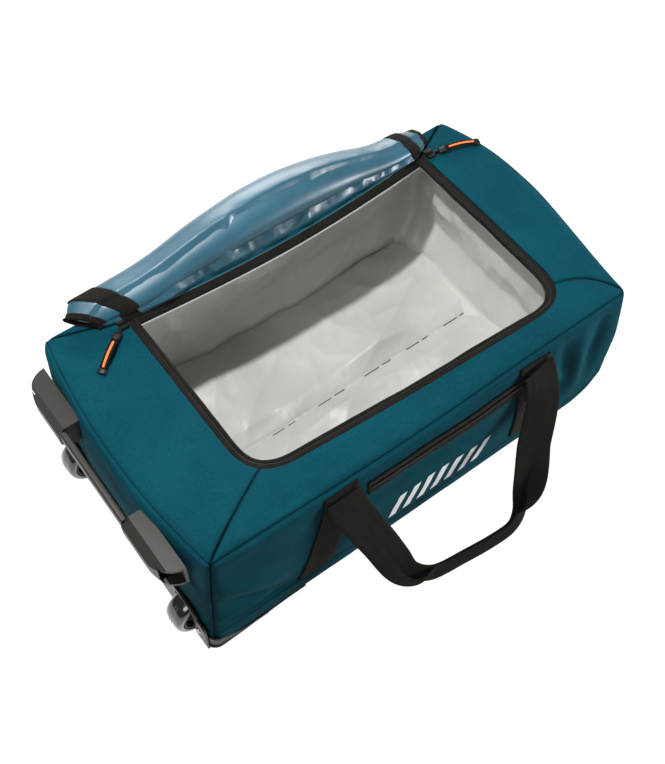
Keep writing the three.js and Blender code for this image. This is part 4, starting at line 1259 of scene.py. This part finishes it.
def make_lining(silver, dark):
    floor_z = low("lining").z + 2 * MM
    left, right, half = low("lining").x, high("lining").x, high("lining").y
    centre = np.array([0.015, 0.0])
    s = np.linspace(0, 1, 300)
    mouth = edge_point(s, -9 * MM)
    mouth = mouth[mouth[:, 1] < HINGE_Y - 6 * MM]
    back_x = np.linspace(mouth[-1, 0], mouth[0, 0], 60)
    mouth = np.concatenate([mouth, line3(back_x, hinge_line(back_x) - 11 * MM, 0), mouth[:1]])
    mouth[:, 2] = 0
    shoulder = rounded_ring(left + 6 * MM, right - 26 * MM, -half, half, 26 * MM)
    waist = rounded_ring(left + 14 * MM, right - 40 * MM, -half - 1 * MM, half + 1 * MM, 20 * MM)
    foot = rounded_ring(-0.284, 0.262, -half + 2 * MM, half - 2 * MM, 14 * MM)
    # share of the way down, the ring there and its height
    sole = rounded_ring(-0.27, 0.236, -half + 10 * MM, half - 2 * MM, 14 * MM)
    stack = [(0, mouth, TOP - 6 * MM), (0.04, mouth, TOP - 11 * MM), (0.2, shoulder, TOP - 24 * MM),
             (0.45, waist, TOP - 75 * MM), (0.72, waist, floor_z + 70 * MM), (0.92, foot, floor_z + 15 * MM),
             (1, sole, floor_z)]
    count, steps = 520, 72
    bearings = even_bearings(shoulder, count, centre)
    rings = np.array([np.column_stack([ring_at(r, bearings, centre), np.full(count, z)]) for _, r, z in stack])
    stops = [share for share, _, _ in stack]
    t = np.linspace(0, 1, steps + 1)
    base = np.stack([[np.interp(t, stops, rings[:, k, c]) for c in range(3)] for k in range(count)])
    base = np.moveaxis(base, 1, 2)
    sag = edge_height(base[..., 0], base[..., 1]) - TOP
    base[..., 2] += sag * np.clip(1 - t * 6, 0, 1)
    inward = np.append(centre, 0) - base
    inward[..., 2] = 0
    inward /= np.linalg.norm(inward, axis=-1, keepdims=True)
    hang = np.sin(np.pi * np.clip((t - 0.06) / 0.94, 0, 1))[None, :]
    points = base + inward * (lining_relief(base, hang) * np.clip(t * 9, 0, 1))[..., None]
    cloth = np.stack([run(base, 0), run(base, 1), 0 * base[..., 0]], axis=-1)
    # seam darkens only the foot of the back wall: painted shade where the wall meets the floor
    seam = np.exp(-(((1 - t) * 0.25 / 0.006) ** 2))[None, :] * (base[..., 1] > 0.1)
    walls = new_object("lining_walls", points.reshape(-1, 3), grid_faces(count, steps, loop_u=True), silver,
                       cloth=cloth.reshape(-1, 3), seam=seam.ravel())
    tidy_normals(walls)
    set_thickness(walls, 0.8 * MM, 0)
    place(walls, "lining_fabric", ["lining"])

    def floor(U, V):
        return line3(-0.285 + 0.548 * U, (2 * V - 1) * (half - 2 * MM), floor_z)

    # the floor's back edge ("s") also gets the painted seam shade, where the floor meets the back wall
    cover = panel("lining_floor", floor, 260, 170, (0, 0, 1), silver, "---s", floor_relief, None, None, 0.8 * MM)
    place(cover, "lining_fabric")
    tree = surface_tree(cover)
    dashes = []
    for start, length in ((-0.115, 20), (-0.088, 12), (-0.035, 24), (-0.006, 18), (0.05, 26), (0.082, 16),
                          (0.128, 24), (0.158, 12), (0.2, 26), (0.232, 14)):
        spots = line3(start + np.linspace(0, length * MM, 6), 3 * MM + start * 0.01, 0.2)
        dashes.append(lay_on(spots, tree, (0, 0, -1), 0.3 * MM))
    for k, dash in enumerate(dashes):
        place(cord_line(f"lining_dash_{k}", dash, 0.7 * MM, dark, 6), "zip_tape")


# ---------------------------------------------------------------- webbing
LOOP = [
    # x, y and z of the centre line in millimetres, the yaw of the band in degrees and how far it is folded in half
    (-143, -204.5, 225, 0, 0), (-142, -210, 208, 0, 0), (-128, -225, 160, 0, 0), (-112, -238, 112, 0, 0),
    (-98, -255, 68, 0, 0.1), (-83, -272, 38, 0, 0.6), (-50, -284, 18, 0, 1), (0, -290, 13.5, 0, 1),
    (45, -295, 14, 0, 1), (78, -296, 19, 0, 1), (98, -288, 36, -4, 0.9), (115, -272, 68, -8, 0.4),
    (145, -247, 110, -20, 0), (170, -224, 160, -14, 0), (171, -210, 208, -4, 0), (168, -204.5, 225, 0, 0),
]
BAND = 50 * MM
BAND_THICK = 1.9 * MM


def spline(points, count):
    """Catmull-Rom through the rows of points."""
    p = np.array(points, float)
    p = np.concatenate([[2 * p[0] - p[1]], p, [2 * p[-1] - p[-2]]])
    at = np.linspace(0, len(p) - 3 - 1e-9, count)
    i = at.astype(int)
    t = (at - i)[:, None]
    a, b, c, d = p[i], p[i + 1], p[i + 2], p[i + 3]
    return 0.5 * (2 * b + (c - a) * t + (2 * a - 5 * b + 4 * c - d) * t**2 + (3 * b - 3 * c + d - a) * t**3)


def make_loop(side, node, body, webbing):
    """The carry loop: flat webbing on both legs, folded in half along the grip."""
    count = 170
    rows = spline(LOOP, count)
    centre = rows[:, :3] * MM
    length = run(centre[:, None, :], 0)[:, 0]
    lean = math.atan2(95, 213)
    plane = np.array([0, -math.cos(lean), math.sin(lean)])
    yaw = np.radians(rows[:, 3])
    normal = np.stack([-plane[1] * np.sin(yaw), plane[1] * np.cos(yaw), np.full(count, plane[2])], axis=1)
    tangent = np.gradient(centre, axis=0)
    tangent /= np.linalg.norm(tangent, axis=1, keepdims=True)
    outward = np.cross(tangent, normal)
    outward /= np.linalg.norm(outward, axis=1, keepdims=True)
    normal = np.cross(outward, tangent)
    fold = np.clip(rows[:, 4], 0, 1)
    across = np.linspace(-1, 1, 17)
    points = np.zeros((count, len(across), 3))
    for k, w in enumerate(across):
        reach = abs(w) * BAND / 2
        shift = outward * (fold * BAND / 4)[:, None]
        if w >= 0:
            points[:, k] = centre + shift - outward * reach
        else:
            turn = fold * math.pi * 0.965
            way = outward * np.cos(turn)[:, None] + normal * np.sin(turn)[:, None]
            points[:, k] = centre + shift + way * reach + normal * (fold * 1.3 * MM)[:, None] * min(1, abs(w) * 6)
    points[..., 2] = np.maximum(points[..., 2], 1.4 * MM)
    ripple = 0.8 * MM * (smooth_noise(points / 0.05, 5) - 0.5)
    points += normal[:, None, :] * ripple[..., None]
    if side > 0:
        points[..., 1] *= -1
    cloth = np.stack([np.broadcast_to(length[:, None], points.shape[:2]),
                      np.broadcast_to((across * BAND / 2 + BAND)[None, :], points.shape[:2]),
                      np.zeros(points.shape[:2])], axis=-1)
    piece = new_object(node + "_webbing", points.reshape(-1, 3), grid_faces(count - 1, len(across) - 1), webbing,
                       cloth=cloth.reshape(-1, 3))
    set_thickness(piece, BAND_THICK, 0)
    place(piece, "webbing", [node], body)


def make_strap(node, side, webbing, cloth_tree):
    """The band sewn down a long side, from the root of the loop to the bottom seam."""
    start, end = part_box(node)
    left = node.endswith("left")
    top_x = (LOOP[0][0] if left else LOOP[-1][0]) * MM
    foot_x = start.x + 0.3 * BAND if left else end.x - 0.5 * BAND
    z_top, z_low = 0.234, 0.058
    U, V = grid(70, 10)
    z = z_top + (z_low - z_top) * U
    x = top_x + (foot_x - top_x) * U**1.3 + (V - 0.5) * BAND
    laid = lay_on(line3(x, side * 0.3, z), cloth_tree, (0, -side, 0), 1.3 * MM)
    cloth = np.stack([run(laid, 0), run(laid, 1), 0 * x], axis=-1).reshape(-1, 3)
    band = new_object(node + "_webbing", laid.reshape(-1, 3), grid_faces(70, 10), webbing, cloth=cloth)
    face_outwards(band, np.tile([0.0, float(side), 0.0], (x.size, 1)))
    set_thickness(band, 1.8 * MM, 0)
    place(band, "webbing", [node])


# ---------------------------------------------------------------- wheel end
def make_wheels(tyre_look, hub_look, steel, housing_look):
    for name in ("front", "back"):
        body = "wheel_" + name
        box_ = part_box(f"wheel_{name}_tyre")
        centre = (box_[0] + box_[1]) / 2
        radius = (box_[1].z - box_[0].z) / 2
        half = (box_[1].y - box_[0].y) / 2
        tread = [(27.4, -15), (28.5, -16.6), (31, -17), (34.0, -16.2), (36.0, -14), (37.2, -11), (37.8, -7), (38, -3.2),
                 (37.4, -2.6), (37.4, -1.6), (38, -1)]
        profile = tread + [(r, -h) for r, h in reversed(tread)]
        scaled = [(r * MM * radius / 0.038, h * MM * half / 0.017) for r, h in profile]
        place(lathe(body + "_tread", scaled, centre, (0, 1, 0), tyre_look), "tyre", [f"wheel_{name}_tyre"], body)
        rim = [(11.4, -12), (13, -13), (15, -13), (16.5, -9), (21.5, -9), (23, -13.5), (25, -16), (26.8, -16),
               (27.1, -15)]
        profile = rim + [(r, -h) for r, h in reversed(rim)]
        hub = lathe(body + "_rim", [(r * MM, h * MM) for r, h in profile], centre, (0, 1, 0), hub_look)
        place(hub, "grey_plastic", [f"wheel_{name}_hub"], body)
        race = [(4.4, -13), (5, -14), (10, -14), (11, -13), (11, 13), (10, 14), (5, 14), (4.4, 13)]
        ring = lathe(body + "_race", [(r * MM, h * MM) for r, h in race], centre, (0, 1, 0), steel)
        place(ring, "steel", [f"wheel_{name}_bearing"], body)
        reach = (high(f"wheel_{name}_axle").y - low(f"wheel_{name}_axle").y) / 2 / MM
        pin = [(0.05, -reach), (3.2, -reach), (4, -reach + 1), (4, reach - 1), (3.2, reach), (0.05, reach)]
        axle = lathe(f"axle_{name}_pin", [(r * MM, h * MM) for r, h in pin], centre, (0, 1, 0), steel, 48)
        place(axle, "steel", [f"wheel_{name}_axle"])
        node = "wheel_housing_" + name
        place(refined(node, housing_look, 1.2 * MM), "black_plastic", [node])


def make_guard(name, side, black):
    """The moulded guard round a bottom corner of the wheel end, which runs out into the piping below."""
    node = "corner_guard_" + name
    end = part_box(node)[1]
    bend = 13 * MM
    turn = np.radians(np.linspace(0, 90, 14))
    arc_x = KICK_X + bend * (1 - np.cos(turn))
    arc_y = HALF_WIDTH + 1.5 * MM - bend * (1 - np.sin(turn))
    x = np.concatenate([arc_x, np.linspace(arc_x[-1], end.x, 60)[1:]])
    y = side * np.concatenate([arc_y, np.full(59, arc_y[-1])])
    tall = end.z - BOTTOM - 1 * MM
    height = tall * (0.24 + 0.76 * (1 - np.clip((x - KICK_X) / 0.05, 0, 1)) ** 1.5)
    rise = np.linspace(0, 1, 12)[None, :]
    lean = np.array([0, -side * 2.5 * MM, 0]) * (1 - rise[..., None]) ** 4
    points = line3(x[:, None], y[:, None], BOTTOM + 1 * MM + height[:, None] * rise) + lean
    plate = new_object(node + "_plate", points.reshape(-1, 3), grid_faces(len(x) - 1, 11), black)
    face_outwards(plate, np.tile([0.0, float(side), 0.0], (len(x) * 12, 1)))
    set_thickness(plate, 2.4 * MM, 0)
    place(plate, "black_plastic", [node])
    x = np.concatenate([arc_x, np.linspace(arc_x[-1], -0.2, 90)[1:]])
    y = side * (np.concatenate([arc_y, np.full(89, arc_y[-1])]) - 3 * MM)
    thin = 1 - 0.6 * smooth_step((x - KICK_X - bend) / 0.12)
    line = line3(x, y, BOTTOM + INSET)
    normals, across = frames_along(line)
    section = lambda i: round_section(5.0 * MM * thin[i], 12)
    place(sweep(f"corner_piping_{name}", line, normals, across, section, black), "black_plastic")


def make_end_mouldings(grey, black, steel):
    for node, bevel in (("stand_foot_front", 2.2), ("stand_foot_back", 2.2), ("grab_bar", 1.5), ("kick_plate", 1.2)):
        place(refined(node, grey, bevel * MM), "grey_plastic", [node])
    plate_x = low("kick_plate").x
    for y in (-0.172, -0.085, 0.085, 0.172):
        dome = [(0.05, 2.4), (2.2, 2.1), (3.8, 1.2), (4.4, 0), (4.4, -1), (0.05, -1)]
        name = f"kick_rivet_{'front' if y < 0 else 'back'}_{abs(int(y * 1000))}"
        profile = [(r * MM, h * MM) for r, h in dome]
        place(lathe(name, profile, (plate_x + 1 * MM, y, 0.04), (-1, 0, 0), steel, 32), "steel")


# ---------------------------------------------------------------- telescopic handle
def make_telescopic(aluminium, black, steel, rubber_look):
    for stage, body in (("outer", "bag"), ("lower", "handle_lower"), ("upper", "handle_upper")):
        for name in ("front", "back"):
            node = f"{stage}_tube_{name}"
            start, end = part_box(node)
            centre = (start + end) / 2
            r, half = (end.z - start.z) / 2, (end.x - start.x) / 2
            wall = 1.0 * MM
            profile = [(r, -half), (r, half - 0.6 * MM), (r - 0.3 * MM, half), (r - wall, half), (r - wall, -half)]
            tube = lathe(node + "_round", profile, centre, (1, 0, 0), aluminium, 48)
            place(tube, "tube", [node], body)
    place(refined("release_linkage", steel, 0.5 * MM), "steel", ["release_linkage"], "release")
    place(refined("release_button", black, 1.0 * MM), "black_plastic", ["release_button"], "release")
    place(refined("grip", rubber_look, 2.0 * MM), "black_plastic", ["grip"], "handle_upper")
    place(refined("handle_bezel", black, 1.5 * MM), "black_plastic", ["handle_bezel"])
    place(refined("tube_brace", black, 1.5 * MM), "black_plastic", ["tube_brace"])
    for node in ("skid_front", "skid_back"):
        place(refined(node, rubber_look, 1.5 * MM), "tyre", [node])
    place(refined("floor_board", black, 1.0 * MM), "bottom_board", ["floor_board"])
    place(refined("pocket_lining", black, 0.2 * MM), "lining_fabric", ["pocket_lining"])


# ---------------------------------------------------------------- assembly
def build():
    teal = body_fabric()
    glossy = lid_fabric()
    silver = lining_fabric()
    webbing = webbing_fabric()
    tape = tape_fabric()
    accent = accent_fabric()
    ink = print_ink()
    # pale thread colour, partly a painted highlight of the zip tape's front edge
    pale = thread("pale_thread_highlight", (0.30, 0.31, 0.26))
    dark = thread("dark_thread", (0.01, 0.01, 0.012))
    grey = moulded("grey_plastic", (0.016, 0.0148, 0.0108), 0.42, 0.5, 0.35)
    black = moulded("black_plastic", (0.006, 0.0055, 0.0045), 0.42, 0.3, 0.22)
    board = moulded("bottom_board", (0.012, 0.012, 0.013), 0.6, 1.0)
    tyre_look = rubber("tyre", (0.005, 0.0045, 0.004), 0.18)
    steel = metal("steel", (0.5, 0.5, 0.5), 0.35)
    aluminium = metal("tube", (0.72, 0.73, 0.74), 0.3)

    front_cloth, back_cloth = make_body(teal, board)
    front, back = surface_tree(front_cloth), surface_tree(back_cloth)
    make_main_zip(tape, black, pale)
    make_hinge(tape, glossy)
    make_sliders(webbing, accent, black)
    make_pocket(tape, webbing, accent, black, front)
    make_print(ink, front)
    make_lid(glossy, tape)
    make_lining(silver, dark)
    make_loop(-1, "front_handle", "loop_front", webbing)
    make_loop(1, "back_handle", "loop_back", webbing)
    for end in ("left", "right"):
        make_strap("front_strap_" + end, -1, webbing, front)
        make_strap("back_strap_" + end, 1, webbing, back)
    make_wheels(tyre_look, grey, steel, black)
    make_end_mouldings(grey, black, steel)
    make_guard("front", -1, black)
    make_guard("back", 1, black)
    make_telescopic(aluminium, black, steel, tyre_look)


make_camera()
make_floor()
make_lights()
build()
